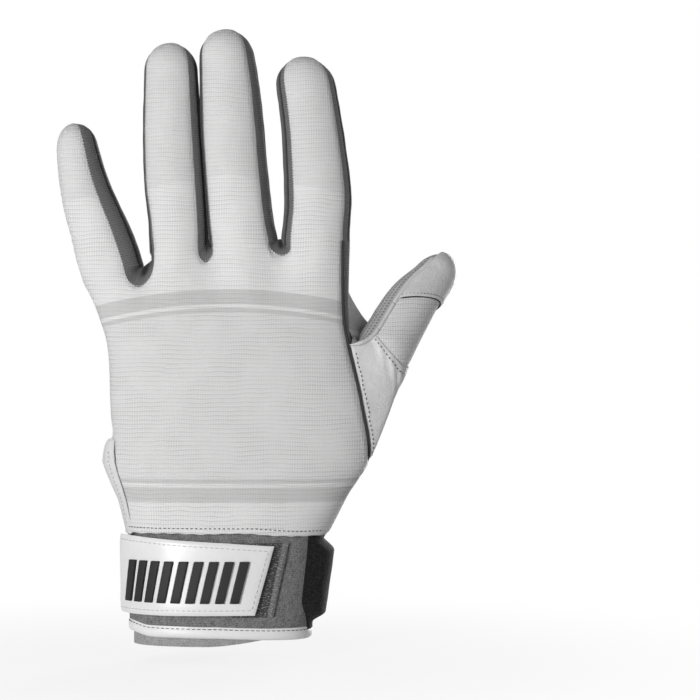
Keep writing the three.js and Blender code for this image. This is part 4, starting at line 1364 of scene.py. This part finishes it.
def fingerPadPiece(name, part, digit, grid):
    distance, angle = fingerPadGrid(digit, part)
    rough = 0.12 * cloud(grid, 6, 4.4) - padCreases(digit, part, distance, angle)
    grid = grid - digit["back"] * rough[..., None]
    piece = sheetPiece(f"{name}_pad_{part}_cover", grid, "leather", fingerPad["wall"], closed=True)
    return settle(piece, "leather", [f"{name}_pad_{part}"], digit=name, part=part)


def padSeam(name, digit, part):  # the line round a pad, with its normals
    distance, angle = (np.append(x[-1], x[-1, 0]) for x in fingerPadGrid(digit, part, fingerPad["seamOut"]))
    panels = ["palm_leather", f"{name}_palm_lower_leather", f"{name}_palm_upper_leather"]
    return nearestOn(panels, *digitLine(digit, distance, angle))


def seamLine(digit, stretch, angle):  # a straight line along a digit at one angle, with its normals
    distance = np.arange(*stretch, 0.8)
    return digitLine(digit, distance, angle + 0 * distance, -0.05)


def palmPadPiece(grid):
    rough = 0.16 * cloud(grid, 8, 6.1) * smooth(edgeDistance(grid, ["high"]), 0, 3)
    grid = grid + rough[..., None] * (0, 1, 0)
    piece = sheetPiece("palm_pad_cover", grid, "leather", palmPad["wall"], closed=True)
    settle(piece, "leather", ["palm_foam"])
    outline = closedCurve(palmPad["outline"], palmPad["spokes"])
    ring = mix(np.array(palmPad["middle"]), outline, palmPad["seamScale"])
    ring = np.append(ring, ring[:1], axis=0)
    return laidOn("palm_leather", np.stack([ring[:, 0], 0 * ring[:, 0], ring[:, 1]], axis=-1), (0, -1, 0))


padStarts = {"palm": palmPadStart()}
for name in fingerNames:
    for part in padStretches(digits[name]):
        padStarts[f"{name}_{part}"] = fingerPadStart(digits[name], part)
padGrids = swollen(padStarts)
padLine = palmPadPiece(padGrids["palm"])
padStitch = {"pitch": 2.0, "dash": 0.85, "thick": 0.5}
for name in fingerNames:
    digit = digits[name]
    for part, stretch in stretches(digit).items():
        if part in padStretches(digit):
            fingerPadPiece(name, part, digit, padGrids[f"{name}_{part}"])
            run = padSeam(name, digit, part)
            piece = stitchPiece(f"{name}_pad_{part}_stitches", [run], "darkThread", **padStitch)
            settle(piece, "dark_knit", digit=name, part=part)
        runs = []
        reach = (stretch[0] + 0.6, min(stretch[1], digit["straight"] + 4))
        inset = math.degrees(1.5 / digit["halfWidth"][1])
        for angle in (digit["palmSeam"][1] + inset, digit["palmSeam"][0] + 360 - inset):
            runs.append(seamLine(digit, reach, angle))
        piece = stitchPiece(f"{name}_stitches_{part}", runs, "darkThread")
        settle(piece, "dark_knit", digit=name, part=part)
print("pads done")


# Thumb: leather root, knit and leather middle, leather cap, grey mesh strip down to the hand
thumbShape = {"rings": 34, "columns": 90, "rootBend": 0.35, "rootWall": 1.3, "rootStep": 0.6, "wall": 1.0,
              "crotch": 0.42, "rim": 0.85, "crotchLift": 4.0, "extraRows": 9, "seamDrop": 0.5,
              "backReach": 2.9, "outerReach": 4.5, "foldDepth": 0.28, "meshWall": 0.9}
thumbCap = {"at": 20.4, "slant": 8.2, "lift": 0.9, "stitch": 1.5}


def rootGrid(around, angle):  # around runs 0 to 12 round the hand's opening, angle round the thumb
    thumb = digits["thumb"]
    k = around % 12
    ends = thumbShape["crotch"]
    fall = np.minimum(k, 12 - k)  # 0 at the crotch, 6 at the opening's lower end
    share = 0.5 + 0.5 * np.where(k < 6, -1, 1) * np.clip(np.minimum(fall, 6 - fall) / ends, 0, 1)
    downward = np.clip((fall - ends) / (6 - 2 * ends), 0, 1)
    start = np.concatenate([
        curveAt(edgeCurves([s]), np.array([[mix(crotchRow, thumbEndRow, d)]]))[0]
        for s, d in zip(share, downward)
    ])
    end = digitPoint(thumb, 0 * angle, angle)
    reach = np.linalg.norm(start - end, axis=-1, keepdims=True)
    sideways = 0.5 * (1 - 2 * share) * np.sin(math.pi * downward)
    outward = unit(np.stack([1 + 0 * k, sideways, 1.9 * downward**3], axis=-1))
    bendOut = start + outward * reach * thumbShape["rootBend"]
    bendIn = end - thumb["along"] * reach * thumbShape["rootBend"]
    t = np.linspace(0, 1, thumbShape["rings"])[:, None, None]
    return (1 - t) ** 3 * start + 3 * (1 - t) ** 2 * t * bendOut + 3 * (1 - t) * t**2 * bendIn + t**3 * end


def rootSurface(angle):  # the root's bare surface under a row of angles
    inner = digits["thumb"]["backSeam"][0]
    span = digits["thumb"]["palmSeam"][0] + 360 - inner
    ends = thumbShape["crotch"]
    return rootGrid(mix(ends, 12 - ends, (angle - inner) / span), angle)


def rootReach(angle):  # mm that the knit runs down below the fold
    outer = np.sin(math.pi * np.clip((angle + 31) / 140, 0, 1))
    return thumbShape["backReach"] * smooth(-angle, -105, -40) + thumbShape["outerReach"] * outer


def downRoot(grid, below):  # points at a depth in mm below the surface's upper edge, below is rows by columns
    found = np.empty(below.shape + (3,))
    for k in range(grid.shape[1]):
        column = grid[::-1, k]
        found[:, k] = pick(below[:, k], lengthAlong(column), column)
    return found


def belowFold(grid, angle):  # rows added to a thumb panel, down to the slanting edge
    angle = angle[0]
    share = np.linspace(1, 0, thumbShape["extraRows"] + 1)[:-1, None]
    extra = downRoot(rootSurface(angle), share * (rootReach(angle) + 0.8)[None])
    return np.concatenate([extra, grid])


def thumbRoot():
    thumb = digits["thumb"]
    inner, palmInner = thumb["backSeam"][0], thumb["palmSeam"][0]
    ends = thumbShape["crotch"]
    u = np.linspace(0, 1, thumbShape["columns"])
    angle = mix(inner, palmInner + 360, u)
    grid = rootSurface(angle)
    t = np.linspace(0, 1, thumbShape["rings"])[:, None]
    tall = np.linalg.norm(np.diff(grid, axis=0), axis=-1).sum(axis=0)
    grid = downRoot(grid, mix(tall, rootReach(angle), t))
    far = edgeDistance(grid, ["low"])
    side = edgeDistance(grid, ["left", "right"])
    calm = smooth(far, 0, 5) * smooth(side, 0, 4)
    folds = thumbShape["foldDepth"] * np.sin(far * 1.15 + 2.0 * cloud(grid, 14, 8.8)) * smooth(t, 0.55, 0.9)
    height = (leatherRelief(grid, 1.1) + folds) * calm * smooth(1 - t, 0, 0.15)
    height = height + thumbShape["rootStep"] * smooth(t, 0.7, 0.95)
    grid = lifted(grid, height - 0.6 * bell(np.minimum(far, side), 0.9))
    piece = sheetPiece("thumb_root_leather", grid, "leather", thumbShape["rootWall"])
    settle(piece, "leather", ["thumb_root"])
    u = np.linspace(0, 1, 21)
    strip = rootGrid(mix(-ends, ends, u), mix(palmInner, inner, u))
    strip[..., 2] += thumbShape["crotchLift"] * (1 - u) * (1 - t) ** 2
    strip = lifted(strip, -0.25 - 0.3 * bell(edgeDistance(strip, ["low"]), 1.0))
    length = lengthAlong(strip)
    uv = np.stack([np.linalg.norm(strip - strip[:, -1:], axis=-1), length - length[-1:]], axis=-1)
    piece = sheetPiece("thumb_root_mesh", strip, "mesh", thumbShape["meshWall"], uv)
    settle(piece, "dark_knit", ["thumb_root"])
    return grid


def thumbPieces():
    thumb = digits["thumb"]
    inner, outer = thumb["backSeam"]
    palmInner = thumb["palmSeam"][0]
    parts = {"lower": (0, thumb["cut"]), "upper": (thumb["cut"], thumb["lower"] + bend["upperPast"])}
    panels = {"back": ("knit", knitRelief, (inner, outer)),
              "palm": ("leather", leatherRelief, (outer, palmInner + 360))}
    for part, stretch in parts.items():
        for side, (cloth, uneven, seams) in panels.items():
            grid, distance, angle = digitGrid(thumb, stretch, (seams[0] + seamEdge, seams[1] - seamEdge), 30)
            fall = seamFall(thumb, distance, angle, seams)
            if part == "lower":
                grid = belowFold(grid, angle)
                fall = np.concatenate([np.repeat(fall[:1], thumbShape["extraRows"], axis=0), fall])
            grid = lifted(grid, uneven(grid) * (1 - fall) - thumbShape["seamDrop"] * fall)
            piece = sheetPiece(f"thumb_{side}_{part}_{cloth}", grid, cloth, thumbShape["wall"])
            settle(piece, cloth, [f"thumb_{side}_lower"], digit="thumb", part=part)
    for part, stretch in stretches(thumb).items():
        node = f"thumb_strip_{part}"
        piece = stripStretch(node, thumb, stretch, (palmInner, inner), True, "mesh")
        settle(piece, "dark_knit", [node], digit="thumb", part=part)
        distance = np.arange(stretch[0], min(stretch[1], thumb["straight"] + 4) + 0.5, 1.0)
        line, normals = digitLine(thumb, distance, inner + 0 * distance, 0.15)
        tapered = (0, 3 if part == "upper" else 0)
        rim = tubePiece(f"thumb_rim_{part}", line, normals, thumbShape["rim"], "leather", tapered)
        settle(rim, "leather", digit="thumb", part=part)
    angle = np.linspace(inner + seamEdge, palmInner + 360 - seamEdge, 70)[None, :]
    start = thumbCap["at"] + thumbCap["slant"] * np.sin(np.radians(angle))
    distance = mix(start, thumb["end"], np.linspace(0, 1, 44)[:, None])
    grid = digitPoint(thumb, distance, angle)
    fall = seamFall(thumb, distance, angle, (inner, palmInner + 360))
    calm = 1 - smooth(distance, thumb["straight"] + 6, thumb["end"])
    hemIn = 0.3 * bell(distance - start, 0.6)
    height = leatherRelief(grid) * calm + thumbCap["lift"] * calm - hemIn
    grid = lifted(grid, height * (1 - fall) - 0.4 * fall)
    piece = sheetPiece("thumb_cap_leather", grid, "leather", thumbShape["wall"])
    settle(piece, "leather", ["thumb_cap"], digit="thumb", part="upper")


def capLine(past, lift):  # a line along the cap's lower edge
    thumb = digits["thumb"]
    angle = np.linspace(thumb["backSeam"][0] + 5, thumb["palmSeam"][0] + 350, 80)
    distance = thumbCap["at"] + thumbCap["slant"] * np.sin(np.radians(angle)) + past
    return digitLine(thumb, distance, angle, -lift, -3)


crotch = {"handTop": 133.5, "handDrop": 3, "thumbTop": 8.5, "thumbLow": -0.3, "lowTurn": 4, "wall": 0.9,
          "sag": 1.2}


def thumbCrotch():  # leather between the palm's edge and the thumb, behind the mesh
    thumb = digits["thumb"]
    t = np.linspace(0, 1, 26)
    heights = mix(sections[1]["z"] - crotch["handDrop"], crotch["handTop"], t)
    rows = np.interp(-heights, [-150] + [-section["z"] for section in sections], range(7))
    handEdge = curveAt(edgeCurves([1.0]), rows[:, None])[:, 0]
    angle = thumb["palmSeam"][0] + crotch["lowTurn"] * (1 - t) ** 4
    thumbEdge = digitPoint(thumb, mix(crotch["thumbLow"], crotch["thumbTop"], t), angle)
    w = np.linspace(0, 1, 18)[None, :, None]
    grid = mix(handEdge[:, None], thumbEdge[:, None], w)
    grid[..., 2] -= crotch["sag"] * np.sin(math.pi * w[..., 0]) * t[:, None]
    grid = lifted(grid, 0.5 * leatherRelief(grid))
    piece = sheetPiece("thumb_crotch_leather", grid, "leather", crotch["wall"])
    ends = (edge.mean(axis=0) for edge in (handEdge, thumbEdge))
    return follow(piece, "leather", (), ("hand", "thumb_lower"), *ends)


thumbGrid = thumbRoot()
thumbPieces()
thumbCrotch()
# the cap's stitches, and a thin dark tube in the piping's finish under its lower edge that paints the shadow
# there
capRun = capLine(thumbCap["stitch"], thumbCap["lift"] - 0.12)
capStitchesAndShadow = (stitchPiece("thumb_cap_stitches", [capRun], "darkThread", 1.5, 0.85, 0.28),
            tubePiece("thumb_cap_edge_shadow", *capLine(-0.1, 0.25), 0.3, "piping"))
for piece in capStitchesAndShadow:
    settle(piece, "dark_knit", digit="thumb", part="upper")
print("thumb done")


# Seams of the hand: dashes and piping
handSeam = {"cuffInset": 2.0, "palmInset": 2.4, "rootInset": 2.0, "pipe": 0.58, "pipeSink": 0.3,
            "padPitch": 2.3, "webInset": 1.6}


def handLine(side, row, first, last):  # a line across a hand panel at one height, first and last as x
    x = np.linspace(first, last, 120)
    towards = (0, 1, 0) if side == "back_knit" else (0, -1, 0)
    row = row + (edgeRise(x) if side == "back_knit" else 0 * x)
    return laidOn(side, np.stack([x, 0 * x, row], axis=-1), towards)


rootNormals = gridNormals(thumbGrid)
rootFar = edgeDistance(thumbGrid, ["low"])
rootRow = np.argmin(np.abs(rootFar - handSeam["rootInset"]), axis=0)
backColumns = np.arange(3, 46)
rootRun = (thumbGrid[rootRow[backColumns], backColumns], rootNormals[rootRow[backColumns], backColumns])
topRun = (thumbGrid[-4, 2:32], rootNormals[-4, 2:32])
runs = [
    handLine("back_knit", wrist["z"] + handSeam["cuffInset"], -36.5, 38),
    handLine("palm_leather", wrist["z"] - palmDrop + handSeam["palmInset"], -33, 30),
    rootRun, topRun,
]
settle(stitchPiece("hand_stitches", runs, "darkThread", 1.7, 1.0, 0.4), "dark_knit")
piece = stitchPiece("palm_pad_stitches", [padLine], "darkThread", handSeam["padPitch"], 0.9, 0.55)
settle(piece, "dark_knit")
webRuns = []
for web in webs:
    line = webPoint(web, "palm", np.linspace(0.02, 0.98, 60))
    line[:, 2] -= handSeam["webInset"]
    webRuns.append(nearestOn(["palm_leather"], line, np.repeat([(0.0, 1.0, 0.0)], len(line), axis=0)))
settle(stitchPiece("web_stitches", webRuns, "darkThread"), "dark_knit")

rows = np.concatenate([handRows(thumbEndRow, crotchRow), handRows(crotchRow, 0)[1:]])
crotchAt = len(handRows(thumbEndRow, crotchRow)) - 1
for name, share, first in (("thumb_piping", 0.0, 0), ("index_piping", 1.0, crotchAt)):
    line, past = (curveAt(edgeCurves([share], depth), rows[first:, None])[:, 0] for depth in (0.0, -1.0))
    normals = unit(past - line)
    piece = tubePiece(name, line - normals * handSeam["pipeSink"], normals, handSeam["pipe"], "piping")
    settle(piece, "dark_knit")
rim = rootSurface(digits["thumb"]["backSeam"][0] + np.array([0.0, 4.0]))
rimUp = gridNormals(rim)[:, 0]
rimTube = tubePiece("thumb_root_rim", rim[:, 0] + rimUp * 0.1, rimUp, thumbShape["rim"], "leather", (12, 0))
settle(rimTube, "leather")
print("hand seams done")


# Cuff: elastic bands, loop patch, hem, lining
band = {"low": 6.0, "high": 45, "little": -91, "thumbBack": 78, "thumbPalm": 128, "wall": 1.4}
patch = {"lowSwell": 4.4, "highSwell": 5.3, "wall": 1.4, "left": 57.5, "lowLeft": 14, "lean": 6, "lowLean": 4,
         "lift": 0.55}
lining = {"depth": 7.6, "wall": 0.7, "low": -0.7, "high": 14, "rise": 4.3, "sideRise": 5.2, "edgeDepth": 1.7,
          "around": (-128, 42)}


def bandPiece(name, node, first, last):
    z = np.linspace(band["low"], band["high"], 46)[:, None]
    angle = np.linspace(first, last, 110)[None, :]
    grid = tucked(cuffPoint(z, angle))
    uneven = 0.16 * cloud(grid, 9, 2.7) * smooth(z, 8, 12)
    return settle(sheetPiece(name, lifted(grid, uneven), "heather", band["wall"]), "elastic", [node])


def loopPatch():
    v = np.linspace(0, 1, 80)[:, None]
    u = np.linspace(0, 1, 60)[None, :]
    rise = mix(patch["lowSwell"], patch["highSwell"], v) * smooth(v, 0.05, 0.15) * (1 - smooth(v, 0.72, 0.87))
    rise = rise * smooth(u, 0, 0.13) * smooth(1 - u, 0, 0.13)
    lean = patch["lean"] * (v - 0.3) - patch["lowLean"] * smooth(0.12 - v, 0, 0.12)
    left = patch["left"] + patch["lowLeft"] * smooth(-v, -0.28, 0)
    angle = mix(left, band["thumbPalm"] + lean, u)
    z = mix(band["low"] - 1.0, band["high"], v) + 0 * angle
    grid = cuffPoint(z, angle, -rise - patch["lift"])
    grid = lifted(turnedIn(grid, ["left", "right"], 0.5, 0.7), 0.12 * cloud(grid, 5, 1.4))
    piece = sheetPiece("cuff_side_patch_loop", grid, "loop", patch["wall"])
    settle(piece, "loop_fabric", ["cuff_side_patch"])
    run = lineOn(grid, 3, slice(4, 74))
    settle(stitchPiece("cuff_side_patch_stitches", [run], "blackThread", 1.5, 0.9, 0.34), "loop_fabric")


def hemTilt(angle):  # the hem hangs lower on the thumb's side
    x = cuffPoint(3, angle)[..., 0]
    tilt = -hem["tilt"] * x - hem["thumbTilt"] * np.maximum(x, 0)
    return tilt + hem["sideRise"] * smooth(-x, 26, 35)


def hemPiece():  # a folded binding, round at both edges
    spin = np.linspace(0, 2 * math.pi, 30, endpoint=False)
    angle = np.linspace(0, 360, 180, endpoint=False)
    depth = hem["thickness"] / 2 - hem["rise"] - hem["thickness"] / 2 * squared(np.cos(spin))
    z = hem["low"] + hem["height"] / 2 * (1 + squared(np.sin(spin)))
    groove = 0.35 * bell(z - hem["stitch"], 0.45) * (np.cos(spin) > 0)
    grid = cuffPoint(z[None, :], angle[:, None], (depth + groove)[None, :])
    grid[..., 2] += hemTilt(angle)[:, None] + 0.15 * cloud(grid, 12, 3.3)
    return settle(loopPiece("hem_binding_edge", grid, "binding"), "binding", ["hem_binding"])


def squared(value):
    return np.sign(value) * np.abs(value) ** 0.7


def flatSheet(grid):  # works out the cross products of a grid's diagonals and returns nothing
    edges = np.cross(grid[1:, 1:] - grid[:-1, :-1], grid[1:, :-1] - grid[:-1, 1:])


def liningPieces():
    curves, _ = handCurves("palm", lining["depth"])
    columns = slice(6, -6)
    grid = curveAt(curves[:, columns], handRows(5.3, 0.4)[:, None])
    piece = sheetPiece("palm_lining_cloth", grid, "lining", lining["wall"])
    flatSheet(grid)
    settle(piece, "lining", ["palm_lining"])
    angle = np.linspace(*lining["around"], 110)[None, :]
    v = np.linspace(0, 1, 14)[:, None]
    x = cuffPoint(0, angle)[..., 0]
    bottom = lining["low"] + lining["rise"] * smooth(x, -6, 36) + lining["sideRise"] * smooth(-angle, 88, 116)
    grid = cuffPoint(mix(bottom, lining["high"], v), angle, lining["edgeDepth"] + 0 * v)
    piece = sheetPiece("cuff_lining_edge", lifted(grid, 0.15 * cloud(grid, 10)), "lining", lining["wall"])
    flatSheet(grid)
    settle(piece, "lining")


bandPiece("cuff_back_elastic", "cuff_back_band", band["little"], band["thumbBack"])
bandPiece("cuff_palm_elastic", "cuff_palm_band", band["thumbPalm"], band["little"] + 360)
loopPatch()
hemPiece()
liningPieces()
angle = np.linspace(0, 360, 400)
hemLine = cuffPoint(hem["stitch"], angle, -0.08)
hemUp = unit(cuffPoint(hem["stitch"], angle, -2) - hemLine)
hemLine[:, 2] += hemTilt(angle)
settle(stitchPiece("hem_stitches", [(hemLine, hemUp)], "darkThread", 2.0, 1.6, 0.3), "binding")
print("cuff done")


# Strap: coated strap with its hook tape and a ribbed rubber grip
strap = {"low": 11.5, "high": 37.0, "start": -90, "lowEnd": 17.5, "highEnd": 25.5, "thickness": 2.2,
         "gap": 0.3, "inset": 1.9, "lowRise": -0.3, "highRise": 3.7, "rootLift": 0.9, "corner": 0.06,
         "cornerDrop": 1.2, "length": 75, "stitchFrom": 0.09}
hook = {"thickness": 1.1, "start": 6, "past": (14, 12), "inset": -1.0}
grip = {"start": -60, "end": 8, "low": 16, "high": 31.5, "bars": 9, "width": 3.3, "lean": 2.6,
        "height": 1.0, "bevel": 0.4}
strapFold = {"start": (-36.5, 0, 24), "end": (-36.5, -9, 24)}


def strapEnd(z):
    return mix(strap["lowEnd"], strap["highEnd"], (z - strap["low"]) / (strap["high"] - strap["low"]))


def overHook(share):
    root = strap["rootLift"] * smooth(-share, -0.2, -0.02)
    return strap["gap"] + root + (hook["thickness"] + strap["gap"]) * smooth(share, 0.3, 0.6)


def strapSettle(obj, slot, nodes=()):
    return follow(obj, slot, nodes, ("hand", "strap"), **strapFold)


def strapPoint(z, share, lift=0.0):  # on the strap's outer face
    angle = mix(strap["start"], strapEnd(z), share)
    return cuffPoint(z, angle, -(overHook(share) + strap["thickness"] + lift))


def strapRow(share, upward, inset=0.0):  # heights across the strap, which widens to its sewn end
    end = (strap["lowEnd"] + strap["highEnd"]) / 2
    turns = (strap["start"], mix(strap["start"], end, share), end)
    first, across, last = (power(np.sin(np.radians(turn))) for turn in turns)
    back = (last - across) / (last - first)
    corner = np.clip(1 - share / strap["corner"], 0, 1)
    low = strap["low"] + strap["lowRise"] * back + inset
    high = strap["high"] + strap["highRise"] * back - inset
    return mix(low, high - strap["cornerDrop"] * (1 - np.sqrt(1 - corner**2)), upward)


def strapPiece():
    share = np.linspace(0, 1, 150)[None, :]
    z = strapRow(share, np.linspace(0, 1, 52)[:, None])
    grid = strapPoint(z, share + 0 * z)
    grid = turnedIn(grid, ["left", "right", "low", "high"], 0.55, 0.75)
    toSeam = edgeDistance(grid, ["right", "low", "high"]) - strap["inset"]
    grid = lifted(grid, 0.10 * cloud(grid, 12, 5.5) - 0.12 * bell(toSeam, 0.8))
    piece = sheetPiece("closure_strap_cover", grid, "strap", strap["thickness"] - 0.6)
    strapSettle(piece, "strap", ["closure_strap"])


def hookPiece():
    z = np.linspace(strap["low"] + hook["inset"], strap["high"] - hook["inset"], 44)[:, None]
    share = np.linspace(0, 1, 40)[None, :]
    past = mix(*hook["past"], np.linspace(0, 1, 44)[:, None])
    grid = cuffPoint(z, mix(hook["start"], strapEnd(z) + past, share), -strap["gap"] - hook["thickness"])
    uv = np.stack([np.linalg.norm(grid - grid[:, -1:], axis=-1), z + 0 * share], axis=-1)
    grid = lifted(turnedIn(grid, ["right", "low", "high"], 0.4, 0.6), 0.08 * cloud(grid, 1.6, 2.2))
    piece = sheetPiece("strap_hook_tape_pile", grid, "hook", hook["thickness"] - 0.2, uv)
    strapSettle(piece, "hook_tape", ["strap_hook_tape"])


def gripBars():  # one bar modelled flat, copied and laid on the strap
    bpy.ops.object.select_all(action="DESELECT")
    bpy.ops.mesh.primitive_cube_add(size=1)
    bar = bpy.context.object
    bar.name = "strap_grip_ribs"
    size = (grip["width"], grip["height"] * 1.5, grip["high"] - grip["low"])
    onWholeMesh(bar, bpy.ops.transform.resize, value=size)
    onWholeMesh(bar, bpy.ops.mesh.subdivide, number_cuts=5)
    soft = bar.modifiers.new("edges", "BEVEL")
    soft.width = grip["bevel"]
    soft.segments = 2
    soft.angle_limit = math.radians(40)
    applyAll(bar)
    flat = np.array([v.co for v in bar.data.vertices])
    faces = [list(p.vertices) for p in bar.data.polygons]
    bpy.data.objects.remove(bar)
    middle = (grip["low"] + grip["high"]) / 2
    around = np.linspace(strap["start"], 40, 400)
    belt = cuffPoint(middle, around, -strap["thickness"])
    length = lengthAlong(belt)
    first, last = np.interp([grip["start"], grip["end"]], around, length)
    points, everyFace = [], []
    for spot in np.linspace(first, last, grip["bars"]):
        z = middle + flat[:, 2]
        angle = np.interp(spot + flat[:, 0] + grip["lean"] * flat[:, 2] / 15, length, around)
        share = (angle - strap["start"]) / (strapEnd(z) - strap["start"])
        everyFace += [[i + len(points) * len(flat) for i in face] for face in faces]
        points.append(strapPoint(z, share, grip["height"] * 0.25 - flat[:, 1]))
    obj = newObject("strap_grip_ribs", np.concatenate(points), everyFace, "rubber")
    onWholeMesh(obj, bpy.ops.mesh.normals_make_consistent, inside=False)
    bpy.ops.object.shade_smooth_by_angle(angle=math.radians(35))
    strapSettle(obj, "rubber", ["strap_grip"])


def strapStitches():
    inset = strap["inset"]
    span = np.linspace(strap["stitchFrom"], 1, 200)
    edgeShare = 1 - inset / strap["length"]
    share = span * edgeShare
    lowLine, highLine = (strapPoint(strapRow(share, upward, inset), share) for upward in (0, 1))
    up = strapRow(edgeShare, np.linspace(0, 1, 60), inset)
    endLine = strapPoint(up, edgeShare + 0 * up)
    runs = []
    for line in (lowLine, highLine, endLine):
        centre = np.stack([0 * line[:, 0], 0 * line[:, 1], line[:, 2]], axis=-1)
        runs.append((line, unit((line - centre) * (0.35, 1, 0))))
    strapSettle(stitchPiece("strap_stitches", runs, "greyThread", 2.0, 1.4, 0.3), "strap")


strapPiece()
hookPiece()
gripBars()
strapStitches()
print("strap done")


# Pull tab: folded webbing under the palm's lower edge
tab = {"top": 34.4, "below": 4.0, "topHalf": 18.6, "lowHalf": 13, "topX": -3.2, "lowX": -5, "thickness": 2.0,
       "gap": 0.3, "box": 0.6, "boxLow": 8, "boxHigh": 22, "wall": 1.5}
tabFold = {"start": (-3.2, 23.4, 34.6), "end": (-3.2, 23.4, 28.5)}


def tabPoint(across, z, lift=0.0):  # across is -1 at the thumb's side
    share = cuffShare(z)
    upward = (z + tab["below"]) / (tab["top"] + tab["below"])
    x = mix(tab["lowX"], tab["topX"], upward) - across * mix(tab["lowHalf"], tab["topHalf"], upward)
    out = (x - mix(hem["x"], cuffTop["x"], share)) / mix(hem["half"], cuffTop["half"], share)
    angle = 180 - np.degrees(np.arcsin(np.sign(out) * np.abs(out) ** (1 / roundness)))
    return cuffPoint(z, angle, -(hem["rise"] + tab["gap"] + tab["thickness"] + lift))


def tabPiece():
    z = np.linspace(-tab["below"], tab["top"], 60)[:, None]
    across = np.linspace(-1, 1, 50)[None, :]
    grid = tabPoint(across, z)
    uv = grid[..., ::2]
    grid = turnedIn(grid, ["left", "right", "low"], 0.5, 0.7)
    grid = lifted(grid, 0.12 * cloud(grid, 11, 7.7))
    piece = sheetPiece("pull_tab_webbing", grid, "webbing", tab["wall"], uv)
    follow(piece, "webbing", ["pull_tab"], ("hand", "pull_tab"), **tabFold)
    half, low, high = tab["box"], tab["boxLow"], tab["boxHigh"]
    corners = [(-half, low), (half, low), (half, high), (-half, high), (-half, low), (half, high)]
    runs = []
    for path in (corners, [(-half, high), (half, low)]):
        path = np.array(path, float)
        steps = np.linspace(0, len(path) - 1, 40 * (len(path) - 1) + 1)
        side = np.interp(steps, range(len(path)), path[:, 0])
        height = np.interp(steps, range(len(path)), path[:, 1])
        line = tabPoint(side, height, -0.05)
        runs.append((line, unit(tabPoint(side, height, 1) - line)))
    piece = stitchPiece("pull_tab_stitches", runs, "paleThread", 1.9, 1.4, 0.36)
    follow(piece, "webbing", (), ("hand", "pull_tab"), **tabFold)


tabPiece()
print("pull tab done")


# Stage
addCamera()
for lamp in stage["lamps"]:
    addLamp(lamp)

bpy.ops.object.select_all(action="DESELECT")
bpy.ops.mesh.primitive_plane_add(size=stage["floorSize"] * mm)
floor = bpy.context.object
floor.name = "floor"
floor.location = (0, 0, cadBox[0].z - stage["floorDrop"] * mm)
f = Finish("pale floor", Roughness=0.9)
f.shader.inputs["Base Color"].default_value = (*grey(stage["floorGrey"]), 1)
seen = seenRays(f.tree)
white = seen.node("ShaderNodeEmission", {}, {"Color": (1, 1, 1, 1), "Strength": 1.0})
away = f.place.node("ShaderNodeVectorMath", {"operation": "LENGTH"}, {0: f.place}, "Value")
clear = stage["floorWhite"] + (1 - stage["floorWhite"]) * between(away, *stage["floorFade"])
mixed = seen.node("ShaderNodeMixShader", {}, {0: seen * clear, 1: Wire(f.shader.outputs[0]), 2: white})
f.tree.links.new(mixed.socket, f.tree.nodes["Material Output"].inputs["Surface"])
floor.data.materials.append(f.material)

world = bpy.data.worlds.new("studio")
scene.world = world
world.use_nodes = True
tree = world.node_tree
strength = stage["ambient"] + (1 - stage["ambient"]) * seenRays(tree)
tree.nodes["Background"].inputs["Color"].default_value = (1, 1, 1, 1)
tree.links.new(strength.socket, tree.nodes["Background"].inputs["Strength"])
scene.view_settings.view_transform = "Standard"
print("stage done")
